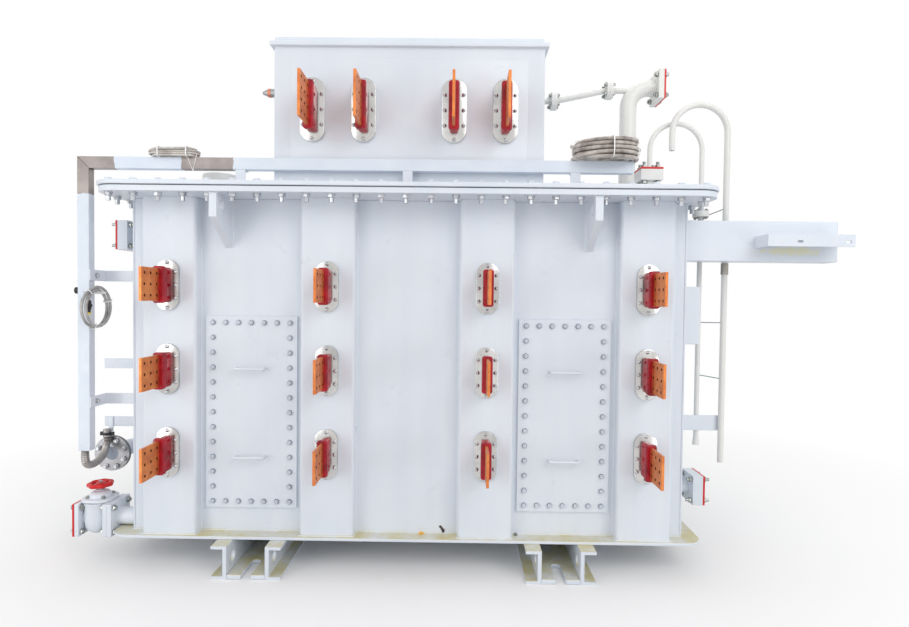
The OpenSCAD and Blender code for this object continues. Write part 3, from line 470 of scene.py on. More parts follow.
# Lifting lugs and feet
# The lugs are thick gussets under the flange, and the feet are rolled channels in pairs.
# Both are welded on before painting; dust from the floor lies on the low flat faces.
LUG_WELD_R = 0.006
LUG_T = 0.036
for node in ("lifting_lugs", "foot_channels", "foot_plates"):
    round_edged(node, tank_paint, width=0.004)
lugs_lo, lugs_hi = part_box("lifting_lugs")
lug_welds = bmesh.new()
for x in (lugs_lo.x, lugs_lo.x + LUG_T, lugs_hi.x - LUG_T, lugs_hi.x):
    for y in (wall_lo.y, back_hi.y):
        bead(lug_welds, (x, y, lugs_lo.z), (x, y, lugs_hi.z), LUG_WELD_R)
    for y0, y1 in ((lugs_lo.y, wall_lo.y), (back_hi.y, lugs_hi.y)):
        bead(lug_welds, (x, y0, lugs_hi.z), (x, y1, lugs_hi.z), LUG_WELD_R)
finished(lug_welds, "lug_welds", tank_paint)

# Low-voltage terminals
# Each terminal is a polished stainless plate, a glossy cast-resin body with a wider outer lip,
# and a flat copper bar drilled for the busbar joint. Domed nuts hold the plate to its studs.
STEEL = (0.690, 0.678, 0.660, 1)
RESIN = (0.460, 0.006, 0.022, 1)
RESIN_DEEP = (0.230, 0.003, 0.012, 1)
COPPER = (0.820, 0.285, 0.085, 1)
COPPER_DULL = (0.640, 0.185, 0.058, 1)
COPPER_HOLE_SHADE = (0.110, 0.030, 0.012, 1)
PLATE_T = 0.015
RESIN_L = 0.055
LIP_L = 0.027
LIP_OUT = 0.004
RESIN_W = 0.042
RESIN_R = 0.012
RESIN_EDGE = 0.002
LIP_EDGE = 0.005
BAR_T = 0.012
BAR_H = 0.150
NUT_AF = 0.017
NUT_IN = 0.013
NUT_RISE = 0.40
CAP_BALL = 0.43
CAP_UP = 0.45
CAP_CUT = 0.30
LV_PLATE = (0.110, 0.242)
LV_RESIN_H = 0.164
LV_NUT_PITCH = 0.062
HOLE_CLEAR = 0.004
HOLE_TILT = 0.3
LV_ROWS = 3


def brushed_steel(name, colour, grain, gloss=(0.14, 0.30)):
    """Stainless steel with a fine grain along one axis, and darker cloudy patches as painted reflection of
    its surroundings.
    """
    material, tree, shader = principled(name, Metallic=1.0)
    lines = noise(tree, stretched(tree, grain), 1.0, 4.0)
    # Painted reflection: cloudy darker patches stand for the surroundings mirrored in the polished steel.
    painted_reflection = ramp(tree, noise(tree, here(tree), 9.0, 4.0), *CLOUD_SPAN)
    feed(tree, shader, Base_Color=blend_colours(tree, painted_reflection, colour, darker(colour, 0.68)),
         Roughness=ramp(tree, lines, 0.25, 0.75, *gloss))
    roughen(tree, shader, lines, distance=0.00006)
    return material


def cast_resin():
    """Red epoxy resin with a wet gloss and a faint cloud in it."""
    material, tree, shader = principled("cast_resin", Roughness=0.16, Specular_IOR_Level=0.35)
    place = here(tree)
    cloud = ramp(tree, noise(tree, place, 14.0, 4.0), 0.35, 0.65)
    feed(tree, shader, Base_Color=blend_colours(tree, cloud, RESIN, RESIN_DEEP))
    roughen(tree, shader, noise(tree, place, 35.0), distance=0.0004)
    return material


def bare_copper():
    """Drawn copper bar: lengthwise grain, finger marks, duller patches, and painted shade on the walls of
    its holes.
    """
    material, tree, shader = principled("bare_copper", Metallic=0.85)
    grain = noise(tree, stretched(tree, (60.0, 4.0, 260.0)), 1.0, 3.0)
    place = here(tree)
    mark = ramp(tree, noise(tree, place, 22.0, 5.0, 0.6), 0.38, 0.66)
    tone = blend_colours(tree, mark, COPPER, COPPER_DULL)
    # Painted shade: the walls of the holes are darkened, standing for the shade inside them.
    hole = add_node(tree, "Attribute", attribute_name="in_hole").outputs["Fac"]
    feed(tree, shader, Base_Color=blend_colours(tree, hole, tone, COPPER_HOLE_SHADE),
         Roughness=ramp(tree, grain, 0.25, 0.75, 0.32, 0.52))
    roughen(tree, shader, grain, distance=0.00008)
    return material


def only(kind, geom):
    """The vertices, edges or faces among mixed geometry."""
    return [g for g in geom if isinstance(g, kind)]


def stadium_plate(bm, size, thickness, round_r=0.002, sides=40):
    """A plate with half-round ends, its face toward the front, its back on the given plane."""
    width, height = size
    made = bmesh.ops.create_circle(bm, cap_ends=True, segments=sides, radius=width / 2)
    for side in (-1, 1):
        bmesh.ops.translate(bm, vec=(0, side * (height - width) / 2, 0),
                            verts=[v for v in made["verts"] if v.co.y * side > 1e-6])
    face = made["verts"][0].link_faces[0]
    lifted = bmesh.ops.extrude_face_region(bm, geom=[face])["geom"]
    raised = only(bmesh.types.BMVert, lifted)
    bmesh.ops.translate(bm, vec=(0, 0, thickness), verts=raised)
    bevelled(bm, [e for e in edges_of(raised) if all(v in raised for v in e.verts)], round_r, segments=2)
    bmesh.ops.recalc_face_normals(bm, faces=bm.faces)


def rounded_block(bm, size, centre, side_r, face_r):
    """A block with big rounds along its depth and a small round at its outer face."""
    place = Matrix.Translation(centre) @ Matrix.Diagonal((*size, 1))
    made = bmesh.ops.create_cube(bm, size=1.0, matrix=place)
    along = [e for e in edges_of(made["verts"])
             if abs(e.verts[0].co.z - e.verts[1].co.z) > 0.9 * size[2]]
    shaped = bevelled(bm, along, side_r, segments=6)
    outer = centre[2] + size[2] / 2
    rim = [e for e in edges_of(v for f in shaped["faces"] for v in f.verts)
           if all(abs(v.co.z - outer) < 1e-6 for v in e.verts)]
    bevelled(bm, rim, face_r, segments=3)


def resin_body(bm, height):
    """The resin body and its lip, standing out from the plate."""
    rounded_block(bm, (RESIN_W, height, RESIN_L), (0, 0, PLATE_T + RESIN_L / 2), RESIN_R, RESIN_EDGE)
    lip = (RESIN_W + 2 * LIP_OUT, height + 2 * LIP_OUT, LIP_L)
    rounded_block(bm, lip, (0, 0, PLATE_T + RESIN_L + LIP_L / 2), RESIN_R, LIP_EDGE)


def domed_nut(bm, base=0.0):
    """A hexagon nut with a round cap over the stud end."""
    hex_part(bm, NUT_AF, NUT_RISE * NUT_AF, base)
    made = bmesh.ops.create_uvsphere(bm, u_segments=10, v_segments=6, radius=CAP_BALL * NUT_AF,
                                     matrix=Matrix.Translation((0, 0, base + CAP_UP * NUT_AF)))
    low = [v for v in made["verts"] if v.co.z < base + CAP_CUT * NUT_AF]
    bmesh.ops.delete(bm, geom=low, context="VERTS")


stainless = brushed_steel("stainless", STEEL, (90.0, 90.0, 6.0))
resin = cast_resin()
copper = bare_copper()
domed = template(domed_nut)


def terminal_nuts(size, pitch):
    """Places of the nuts on a terminal plate: one at each end and three down each side."""
    width, height = size[0] / 2 - NUT_IN, size[1] / 2 - NUT_IN
    sides = [(side * width, k * pitch) for side in (-1, 1) for k in (-1, 0, 1)]
    return [(0, height), (0, -height)] + sides


def dress_terminals(kind, spots, size, resin_h, pitch, face_y):
    """Plates, resin bodies and nuts of like terminals, each facing the front."""
    plate = template(lambda bm: stadium_plate(bm, size, PLATE_T))
    body = template(lambda bm: resin_body(bm, resin_h))
    plates, bodies, caps = bmesh.new(), bmesh.new(), bmesh.new()
    for x, z in spots:
        set_down(plates, plate, aimed((x, face_y, z), (0, -1, 0)))
        set_down(bodies, body, aimed((x, face_y, z), (0, -1, 0)))
        for dx, dz in terminal_nuts(size, pitch):
            spot = (x + dx, face_y - PLATE_T, z + dz)
            set_down(caps, domed, aimed(spot, (0, -1, 0), turns.uniform(0, 1)))
    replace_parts(finished(plates, kind + "_plates", stainless), kind + "_flanges")
    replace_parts(finished(bodies, kind + "_resin", resin), kind + "_insulators")
    fasteners(caps, kind + "_nuts", zinc)


def dress_bars(node, heights, height):
    """Copper bars in rows, with the walls of their holes marked for painted shade."""
    bars = round_edged(node, copper, width=0.0008)
    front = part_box(node)[0].y + HOLE_CLEAR
    mark = bars.data.attributes.new("in_hole", "FLOAT", "FACE")
    for i, face in enumerate(bars.data.polygons):
        rise = min(abs(face.center.z - z) for z in heights)
        inside = rise < height / 2 - HOLE_CLEAR and face.center.y > front
        mark.data[i].value = float(inside and abs(face.normal.x) < HOLE_TILT)


bars_lo, bars_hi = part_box("lv_bars")
bar_xs = spaced(bars_lo.x + BAR_T / 2, bars_hi.x - BAR_T / 2, BOX_COUNT)
bar_zs = spaced(bars_lo.z + BAR_H / 2, bars_hi.z - BAR_H / 2, LV_ROWS)
lv_spots = [(x, z) for x in bar_xs for z in bar_zs]
dress_terminals("lv", lv_spots, LV_PLATE, LV_RESIN_H, LV_NUT_PITCH, boxes_lo.y)
dress_bars("lv_bars", bar_zs, BAR_H)

# Terminal turret
# A welded box on the cover with a rimmed lid, and a bleed plug in its left side.
# The plate that carries the four upper terminals is let in, and shows as a faint raised field.
TURRET_PLATE = (0.116, 0.300)
TURRET_RESIN_H = 0.214
TURRET_NUT_PITCH = 0.072
FIELD_IN = (0.080, 0.078)
FIELD_T = 0.0015
PLUG_STEEL = (0.430, 0.440, 0.440, 1)
PLUG_RING = (0.780, 0.300, 0.200, 1)
PLUG_R = 0.020
RING_AT = (0.047, 0.062)
RIM_OUT = 0.018
PAIR_GAP = 0.241
FIELD_ROUND = (0.004, 0.0012)
TURRET_WELD_R = 0.006
RING_OUT = 0.001
for node in ("turret_box", "turret_lid"):
    round_edged(node, tank_paint, width=0.005)
turret_lo, turret_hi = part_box("turret_box")
turret_front = turret_lo.y + RIM_OUT
tbars_lo, tbars_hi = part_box("turret_bars")
tbar_xs = [tbars_lo.x + BAR_T / 2, tbars_lo.x + BAR_T / 2 + PAIR_GAP]
tbar_xs += [tbars_hi.x - BAR_T / 2 - PAIR_GAP, tbars_hi.x - BAR_T / 2]
tbar_z = (tbars_lo.z + tbars_hi.z) / 2
turret_spots = [(x, tbar_z) for x in tbar_xs]
dress_terminals("turret", turret_spots, TURRET_PLATE, TURRET_RESIN_H, TURRET_NUT_PITCH, turret_front)
dress_bars("turret_bars", [tbar_z], tbars_hi.z - tbars_lo.z)
turret_left, turret_right = turret_lo.x + RIM_OUT, turret_hi.x - RIM_OUT
turret_back = turret_hi.y - RIM_OUT
field_w = turret_right - turret_left - 2 * FIELD_IN[0]
field_h = turret_hi.z - turret_lo.z - FIELD_IN[1]
field_mid = ((turret_lo.x + turret_hi.x) / 2, turret_front, turret_lo.z + field_h / 2)
lone_piece("turret_field", tank_paint, "tank_paint", aimed(field_mid, (0, -1, 0)),
           lambda bm: rounded_block(bm, (field_w, field_h, FIELD_T), (0, 0, 0), *FIELD_ROUND))
turret_welds = bmesh.new()
for y in (turret_front, turret_back):
    bead(turret_welds, (turret_left, y, turret_lo.z), (turret_right, y, turret_lo.z), TURRET_WELD_R)
for x in (turret_left, turret_right):
    bead(turret_welds, (x, turret_front, turret_lo.z), (x, turret_back, turret_lo.z), TURRET_WELD_R)
finished(turret_welds, "turret_welds", tank_paint)
round_edged("turret_plug", plated_metal("plug_steel", PLUG_STEEL), width=0.002)
plug_lo, plug_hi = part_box("turret_plug")
plug_root = (plug_hi.x, (plug_lo.y + plug_hi.y) / 2, (plug_lo.z + plug_hi.z) / 2)
lone_piece("plug_ring", plated_metal("plug_ring", PLUG_RING), "plug_steel", aimed(plug_root, (-1, 0, 0)),
           lambda bm: disc(bm, PLUG_R + RING_OUT, RING_AT[1] - RING_AT[0], RING_AT[0], sides=24))

# Pipework
# Steel pipes end in square flanges, and each open end is shut by a red plate for transport.
# Plated studs with a nut at both ends clamp every joint, and their ends stand out past the nuts.
BLANK_RED = ((0.700, 0.010, 0.010, 1), (0.560, 0.008, 0.010, 1))
STUD_ZINC = (0.430, 0.450, 0.430, 1)
PORT_STEEL = (0.400, 0.400, 0.415, 1)
SQUARE_T = 0.026
BLANK_T = 0.010
ELBOW_SIDE = 0.146
VENT_R = 0.046
VENT_T = 0.015
VENT_STUB = 0.089
ROUND_R = 0.093
ROUND_T = 0.022
PIPE_CLEAR = 0.003
ROUND_PCD = 0.145
ROUND_BOLTS = 8
JOINT_AF = 0.024
JOINT_NUT = 0.013
JOINT_IN = 0.021
VENT_AF = 0.018
VENT_PITCH = 0.047
STUD_TIP = 0.006
SEAL_PROUD = 0.0008
SEAL_L = 0.004
WHITE_PAINT = ((0.800, 0.800, 0.780, 1), (0.740, 0.738, 0.710, 1))


def clamp_studs(bm, centre, axis, pitch, behind, ahead, across=JOINT_AF, tail=0.014):
    """Four studs through a joint, with a nut on each side and their ends standing out."""
    nut = JOINT_NUT * across / JOINT_AF
    end = -behind - nut - tail
    stud = template(lambda bm: disc(bm, across / 3, ahead + nut + tail - end, end, sides=10),
                    lambda bm: hex_part(bm, across, nut, ahead),
                    lambda bm: hex_part(bm, across, nut, -behind - nut))
    for side in (-1, 1):
        for rise in (-1, 1):
            corner = Matrix.Translation((side * pitch / 2, rise * pitch / 2, 0))
            spin = Matrix.Rotation(turns.uniform(0, 1), 4, "Z")
            set_down(bm, stud, aimed(centre, axis) @ corner @ spin)


white_pipe = sprayed_paint("pipe_paint", *WHITE_PAINT)
red_paint = sprayed_paint("blank_red", *BLANK_RED, gloss=(0.25, 0.4))
stud_zinc = plated_metal("stud_zinc", STUD_ZINC)
for node in ("elbow_pipe", "vent_pipe", "cover_port"):
    round_edged(node, white_pipe, width=0.002)
for node in ("left_port", "right_port", "drain_pipe"):
    round_edged(node, tank_paint, width=0.002)
round_edged("port_blanks", red_paint, width=0.0015)
port_steel = brushed_steel("port_steel", PORT_STEEL, (90.0, 6.0, 90.0), (0.3, 0.5))
round_port = round_edged("round_port", port_steel, width=0.002)
round_port.data.materials.append(tank_paint)
round_lo, round_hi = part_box("round_port")
pipe_from = round_lo.y + ROUND_T + PIPE_CLEAR
for face in round_port.data.polygons:
    face.material_index = int(face.center.y > pipe_from)
elbow_lo, elbow_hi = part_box("elbow_pipe")
elbow_face = (elbow_hi.x, (elbow_lo.y + elbow_hi.y) / 2, elbow_hi.z - ELBOW_SIDE / 2)
studs = bmesh.new()
clamp_studs(studs, elbow_face, (1, 0, 0), ELBOW_SIDE - 2 * JOINT_IN, SQUARE_T, BLANK_T, tail=STUD_TIP)
for node, axis in (("left_port", (-1, 0, 0)), ("right_port", (1, 0, 0)), ("cover_port", (0, 0, 1))):
    port_lo, port_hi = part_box(node)
    middle = (port_lo + port_hi) / 2
    face = middle + Vector(axis) * abs((port_hi - middle).dot(Vector(axis)))
    clamp_studs(studs, face, axis, port_hi.y - port_lo.y - 2 * JOINT_IN, 2 * SQUARE_T, BLANK_T)
vent_lo, vent_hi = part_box("vent_pipe")
vent_y = (vent_lo.y + vent_hi.y) / 2
for x, z in ((vent_lo.x + VENT_STUB, vent_lo.z + VENT_R), (vent_hi.x, vent_hi.z - VENT_R)):
    clamp_studs(studs, (x, vent_y, z), (1, 0, 0), VENT_PITCH, VENT_T, VENT_T, VENT_AF, tail=0.004)
round_mid = Vector((round_lo.x + ROUND_R, round_lo.y, (round_lo.z + round_hi.z) / 2))
round_nut = template(lambda bm: hex_part(bm, JOINT_AF, JOINT_NUT),
                     lambda bm: disc(bm, JOINT_AF / 3, STUD_TIP, JOINT_NUT, sides=10))
round_nuts = bmesh.new()
for k in range(ROUND_BOLTS):
    turn = (k + 0.5) * 2 * math.pi / ROUND_BOLTS
    spot = round_mid + ROUND_PCD / 2 * Vector((math.cos(turn), 0, math.sin(turn)))
    set_down(round_nuts, round_nut, aimed(spot, (0, -1, 0), turns.uniform(0, 1)))
fasteners(studs, "joint_studs", stud_zinc)
fasteners(round_nuts, "round_port_nuts", zinc)
round_joint = bmesh.new()
seal_r = ROUND_R + SEAL_PROUD
bmesh.ops.create_cone(round_joint, cap_ends=False, segments=48, radius1=seal_r, radius2=seal_r, depth=SEAL_L,
                      matrix=aimed(round_mid + Vector((0, ROUND_T / 2, 0)), (0, -1, 0)))
finished(round_joint, "round_port_gasket", gasket_rubber)

# Support beam and rail
# A folded plate channel stands out from the right wall, with a slotted rail bolted along its end.
# A control box and a flat pipe bracket are welded to the same wall.
BEAM_DUST = (0.770, 0.770, 0.590, 1)
RAIL_DUST = (((1.660, -0.6055, 1.570), (0.160, 0.05, 0.022), 60.0, BEAM_DUST),)
beam_paint = sprayed_paint("beam_paint", PAINT, PAINT_SHADE, marks=RAIL_DUST)
round_edged("support_beam", beam_paint, width=0.004)
for node in ("beam_rail", "control_box", "pipe_bracket"):
    round_edged(node, tank_paint, width=0.004)

# Breather pipes
# Two bent tubes rise along the right wall and turn over above the cover.
# The small one is flanged under the cover, a sleeve joins the tall one, and wires run between them.
SMALL_FLANGE_R = 0.040
SMALL_PITCH = 0.040
SMALL_AF = 0.016
SLEEVE_R = 0.0185
SLEEVE_L = 0.058
TALL_R = 0.015
SLEEVE_STEEL = (0.420, 0.400, 0.360, 1)
WIRE_R = 0.0022
PIPE_WIRES = (
    ("upper_pipe_wire", (0.110, 0.085, 0.070, 1), 1.802, 1.764, 0.020),
    ("middle_pipe_wire", (0.150, 0.130, 0.200, 1), 1.211, 1.210, 0.0),
    ("lower_pipe_wire", (0.060, 0.170, 0.090, 1), 0.919, 0.935, 0.0))
for node in ("tall_breather", "small_breather"):
    round_edged(node, white_pipe, width=0.0015, flat=False)
tall_lo, tall_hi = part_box("tall_breather")
small_lo, small_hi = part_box("small_breather")
tall_leg = Vector((tall_hi.x - TALL_R, (tall_lo.y + tall_hi.y) / 2, 0))
small_leg = Vector((small_hi.x - SMALL_FLANGE_R, (small_lo.y + small_hi.y) / 2, 0))
beam_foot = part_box("support_beam")[0].z
small_studs = bmesh.new()
clamp_studs(small_studs, small_leg + Vector((0, 0, wall_hi.z - VENT_T)), (0, 0, -1), SMALL_PITCH,
            VENT_T, VENT_T, SMALL_AF, tail=0.003)
fasteners(small_studs, "small_pipe_studs", stud_zinc)
for name, colour, tall_z, small_z, reach in PIPE_WIRES:
    wire = bmesh.new()
    bead(wire, tall_leg + Vector((0, 0, tall_z)), small_leg + Vector((reach, 0, small_z)), WIRE_R)
    finished(wire, name, rubber_like(name, colour, 0.4))
lone_piece("tall_pipe_sleeve", plated_metal("sleeve_steel", SLEEVE_STEEL), "stainless",
           Matrix.Translation(tall_leg),
           lambda bm: disc(bm, SLEEVE_R, SLEEVE_L, beam_foot - SLEEVE_L, sides=24))

# Drain valve
# A cast gate valve on the drain pipe: a barrel body between two square flanges, a bonnet bolted on
# over a dark gasket, and a red cast handwheel with a wavy rim, held on its stem by a nut.
VALVE_FLANGE = 0.160
VALVE_FLANGE_T = 0.021
VALVE_ROUND = (0.006, 0.003)
BODY_SHAPE = ((0.0, -0.078), (0.036, -0.075), (0.054, -0.062), (0.063, -0.042), (0.066, -0.012),
              (0.066, 0.045), (0.067, 0.064), (0.070, 0.073), (0.070, 0.079), (0.0, 0.079))
BODY_DEEP = 1.14
BRANCH_R = 0.046
BONNET = 0.144
BONNET_T = 0.014
BONNET_Z = 0.082
BONNET_ROUND = (0.048, 0.003)
BONNET_PCD = 0.110
BONNET_UNDER = 0.002
BONNET_SEAL = (0.140, 0.140, 0.003)
SEAL_ROUND = (0.047, 0.0005)
DOME_H = 0.034
DOME_TOP_R = 0.020
DOME_BULGE = 0.032
DOME_DROP = 0.004
STEM_R = 0.010
STEM_GAP = 0.0002
STEM_SINK = 0.031
WHEEL_R = 0.0470
WHEEL_LOBE = 0.0030
WHEEL_LOBES = 7
RIM_R = 0.0110
RIM_CLEAR = 0.001
SPOKES = 3
SPOKE_TURN = 0.4
SPOKE_W = 0.022
SPOKE_T = 0.010
SPOKE_ROUND = (0.004, 0.001)
HUB = (0.022, 0.020, -0.012)
STEM_NUT = (0.017, 0.009, 0.008)


def lathe(bm, profile, steps=40):
    """A round piece from a half outline of radius and height, turned about its own upward axis."""
    verts = [bm.verts.new((radius, 0, height)) for radius, height in profile]
    edges = [bm.edges.new(pair) for pair in zip(verts, verts[1:])]
    bmesh.ops.spin(bm, geom=verts + edges, cent=(0, 0, 0), axis=(0, 0, 1), angle=2 * math.pi,
                   steps=steps, use_merge=True)
    bmesh.ops.remove_doubles(bm, verts=bm.verts, dist=1e-6)
    bmesh.ops.recalc_face_normals(bm, faces=bm.faces)


def dome_shape():
    """Half outline of the bonnet's dome, with the open bore of the stem."""
    base, top = BONNET_Z + BONNET_T, BONNET_Z + BONNET_T + DOME_H
    turned = [k * math.pi / 12 for k in range(7)]
    rise = DOME_H - DOME_DROP
    bulge = [(DOME_TOP_R + DOME_BULGE * math.sin(a), base + rise * math.cos(a)) for a in turned]
    bore = STEM_R + STEM_GAP
    socket = [(0.0, top - STEM_SINK), (bore, top - STEM_SINK), (bore, top), (DOME_TOP_R, top)]
    return socket + bulge + [(0.0, base)]


valve_lo, valve_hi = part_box("drain_valve")
valve_axis = (valve_lo + valve_hi) / 2
valve_axis.z = valve_lo.z + VALVE_FLANGE / 2
valve_half = (valve_hi.x - valve_lo.x) / 2
flange_size = (VALVE_FLANGE, VALVE_FLANGE, VALVE_FLANGE_T)
flange_at = (0, 0, valve_half - VALVE_FLANGE_T / 2)
valve_flange = template(lambda bm: rounded_block(bm, flange_size, flange_at, *VALVE_ROUND),
                        lambda bm: disc(bm, BRANCH_R, valve_half - VALVE_FLANGE_T, 0.0, sides=32))
valve = bmesh.new()
deeper = Matrix.Diagonal((1, BODY_DEEP, 1, 1))
set_down(valve, template(lambda bm: lathe(bm, BODY_SHAPE)), Matrix.Translation(valve_axis) @ deeper)
set_down(valve, template(lambda bm: lathe(bm, dome_shape())), Matrix.Translation(valve_axis))
for side in (-1, 1):
    set_down(valve, valve_flange, aimed(valve_axis, (side, 0, 0)))
bonnet_at = (0, 0, BONNET_Z + BONNET_T / 2)
bonnet = template(lambda bm: rounded_block(bm, (BONNET, BONNET, BONNET_T), bonnet_at, *BONNET_ROUND))
set_down(valve, bonnet, Matrix.Translation(valve_axis))
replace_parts(finished(valve, "drain_valve_cast", tank_paint), "drain_valve")
lone_piece("bonnet_gasket", gasket_rubber, "gasket", Matrix.Translation(valve_axis),
           lambda bm: rounded_block(bm, BONNET_SEAL, (0, 0, BONNET_Z - BONNET_SEAL[2] / 2), *SEAL_ROUND))
valve_studs = bmesh.new()
for side, outer in ((1, VALVE_FLANGE_T), (-1, BLANK_T)):
    clamp_studs(valve_studs, valve_axis + Vector((side * valve_half, 0, 0)), (side, 0, 0),
                VALVE_FLANGE - 2 * JOINT_IN, VALVE_FLANGE_T, outer, tail=0.004)
clamp_studs(valve_studs, valve_axis + Vector((0, 0, BONNET_Z)), (0, 0, 1), BONNET_PCD / math.sqrt(2),
            BONNET_UNDER, BONNET_T, VENT_AF, tail=0.003)
fasteners(valve_studs, "valve_studs", stud_zinc)

wheel_lo, wheel_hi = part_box("valve_handwheel")
wheel_mid = (wheel_lo + wheel_hi) / 2
wheel_mid.z = wheel_hi.z - RIM_R - RIM_CLEAR
wheel = bmesh.new()
rim_at = Matrix.Translation((WHEEL_R, 0, 0)) @ Matrix.Rotation(math.pi / 2, 4, "X")
rim = bmesh.ops.create_circle(wheel, segments=12, radius=RIM_R, matrix=rim_at)["verts"]
bmesh.ops.spin(wheel, geom=rim + edges_of(rim), cent=(0, 0, 0), axis=(0, 0, 1), angle=2 * math.pi,
               steps=70, use_merge=True)
for vert in wheel.verts:
    wave = WHEEL_LOBE * math.cos(WHEEL_LOBES * math.atan2(vert.co.y, vert.co.x))
    vert.co += Vector((vert.co.x, vert.co.y, 0)).normalized() * wave
bmesh.ops.recalc_face_normals(wheel, faces=wheel.faces)
spoke_size = (SPOKE_W, SPOKE_T, WHEEL_R)
spoke = template(lambda bm: rounded_block(bm, spoke_size, (0, 0, WHEEL_R / 2), *SPOKE_ROUND))
for k in range(SPOKES):
    turn = 2 * math.pi * k / SPOKES + SPOKE_TURN
    set_down(wheel, spoke, aimed((0, 0, 0), (math.cos(turn), math.sin(turn), 0)))
disc(wheel, *HUB, sides=24)
bmesh.ops.translate(wheel, vec=wheel_mid, verts=wheel.verts)
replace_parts(finished(wheel, "handwheel_cast", red_paint, "handwheel"), "valve_handwheel")
stem = bmesh.new()
disc(stem, STEM_R, wheel_mid.z - wheel_lo.z, wheel_lo.z - wheel_mid.z, sides=20)
hex_part(stem, *STEM_NUT)
bmesh.ops.translate(stem, vec=wheel_mid, verts=stem.verts)
fasteners(stem, "valve_stem", zinc, "handwheel")

# Cable tray and duct
# Folded stainless trunking, mitred at the corner and still under pale protective film.
# The film is peeled off near the corner and beside the pedestal, where the brownish steel shows.
FILM = (0.700, 0.760, 0.835, 1)
FILM_SHADE = (0.655, 0.720, 0.810, 1)
TRUNKING = (0.330, 0.290, 0.275, 1)
TRUNKING_SHADE = (0.230, 0.200, 0.190, 1)
TRAY_BARE = ((-0.100, 0.176), (0.489, 0.733))
DUCT_BARE = 0.174
PEEL_EDGE = 0.0012
PEEL_WANDER = 0.004
PEEL_PAST = 0.1
BLACK = (0.016, 0.017, 0.018, 1)
STRAP_T = 0.006
STRAP_ZS = (1.411, 0.810)
STRAP_BOLT_IN = 0.004
STRAP_WASHER = (0.012, 0.002)
STRAP_HEAD = (0.017, 0.010)
LATCH_R = 0.016
LATCH_L = 0.020
LATCH_Z = 1.338


def filmed_steel(name, axis, bare):
    """Trunking steel under pale film, bare between places along an axis."""
    material, tree, shader = principled(name, Specular_IOR_Level=0.5)
    place = here(tree)
    along = add_node(tree, "SeparateXYZ", {0: place}).outputs[axis]
    wander = ramp(tree, noise(tree, place, 30.0), *CLOUD_SPAN, -PEEL_WANDER, PEEL_WANDER)
    spot = combine(tree, "ADD", along, wander)
    peeled = 0.0
    for first, last in bare:
        patch = combine(tree, "MULTIPLY", ramp(tree, spot, first - PEEL_EDGE, first + PEEL_EDGE),
                        ramp(tree, spot, last - PEEL_EDGE, last + PEEL_EDGE, 1.0, 0.0))
        peeled = combine(tree, "MAXIMUM", patch, peeled)
    cloud = ramp(tree, noise(tree, place, 8.0, 5.0), 0.35, 0.65)
    film = blend_colours(tree, cloud, FILM, FILM_SHADE)
    steel = blend_colours(tree, cloud, TRUNKING, TRUNKING_SHADE)
    feed(tree, shader, Base_Color=blend_colours(tree, peeled, film, steel),
         Metallic=combine(tree, "MULTIPLY", peeled, 0.45),
         Roughness=ramp(tree, noise(tree, place, 20.0), *CLOUD_SPAN, 0.28, 0.45))
    roughen(tree, shader, noise(tree, place, 90.0), distance=0.0003)
    return material


tray_lo, tray_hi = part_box("cable_tray")
duct_lo, duct_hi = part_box("upright_duct")
tray_bare = [(tray_lo.x + first, tray_lo.x + last) for first, last in TRAY_BARE]
tray_film = filmed_steel("tray_film", "X", tray_bare)
duct_film = filmed_steel("duct_film", "Z", [(duct_hi.z - DUCT_BARE, duct_hi.z + PEEL_PAST)])
round_edged("cable_tray", tray_film, width=0.002)
round_edged("upright_duct", duct_film, width=0.002)
for node in ("tray_brackets", "duct_bars"):
    round_edged(node, tank_paint, width=0.0015)
for node in ("cover_fittings", "coil_peg"):
    round_edged(node, white_pipe, width=0.003)
black_plastic = rubber_like("black_plastic", BLACK, 0.45)
strap_bolt = template(lambda bm: disc(bm, *STRAP_WASHER),
                      lambda bm: hex_part(bm, *STRAP_HEAD, STRAP_WASHER[1]))
strap_bolts = bmesh.new()
for z in STRAP_ZS:
    spot = (duct_hi.x + STRAP_T, duct_hi.y + STRAP_BOLT_IN, z)
    set_down(strap_bolts, strap_bolt, aimed(spot, (1, 0, 0), turns.uniform(0, 1)))
fasteners(strap_bolts, "duct_bar_bolts", zinc)
latch_at = aimed((duct_lo.x, (duct_lo.y + duct_hi.y) / 2, LATCH_Z), (-1, 0, 0))
lone_piece("duct_latch", black_plastic, "black_plastic", latch_at,
           lambda bm: disc(bm, LATCH_R, LATCH_L, 0.0, sides=20))

# Cable coils
# Spare cable lies on the tray, wound in a thick pile at the right and in a flat hank at the left.
# The sheath is grey-beige plastic, grimy from handling, and white nylon ties hold each bunch. Its darker
# patches are partly that grime and partly painted shade of the gaps between turns.
SHEATH = (0.590, 0.540, 0.495, 1)
# The darker sheath tone is partly grime and partly painted shade of the gaps between turns.
SHEATH_SOIL_AND_SHADE = (0.160, 0.130, 0.115, 1)
HANK = (0.640, 0.600, 0.560, 1)
HANK_GRIME = (0.300, 0.260, 0.240, 1)
TIE_WHITE = (0.780, 0.780, 0.760, 1)
COIL_D = 0.017
COIL_STEP = 0.0185
COIL_TURNS = (4, 5)
COIL_FAN = (0.92, 1.08)
COIL_DEEP = 0.84
COIL_SAG = 0.08
COIL_IN = 0.003
COIL_SWAY = ((0.0016, 1.7, 0.0), (0.0012, 0.43, 1.0))
COIL_LEAN = 0.5
REST_GAP = 0.0005
COIL_TIES = ((3.35, 0.088), (4.75, 0.0955), (5.66, 0.0985))
BUNCH_IN = 0.004
TIE_UP = 0.001
TIE_OUT = 0.003
FLAT_D = 0.010
FLAT_STEP = 0.0106
FLAT_TURNS = (2, 4)
FLAT_START = 0.3
FLAT_FOLD = 0.0305
HANK_TAPER = 0.008
HANK_WIDEST = 1.4
HANK_LIFT = 0.035
HANK_STEPS = 6
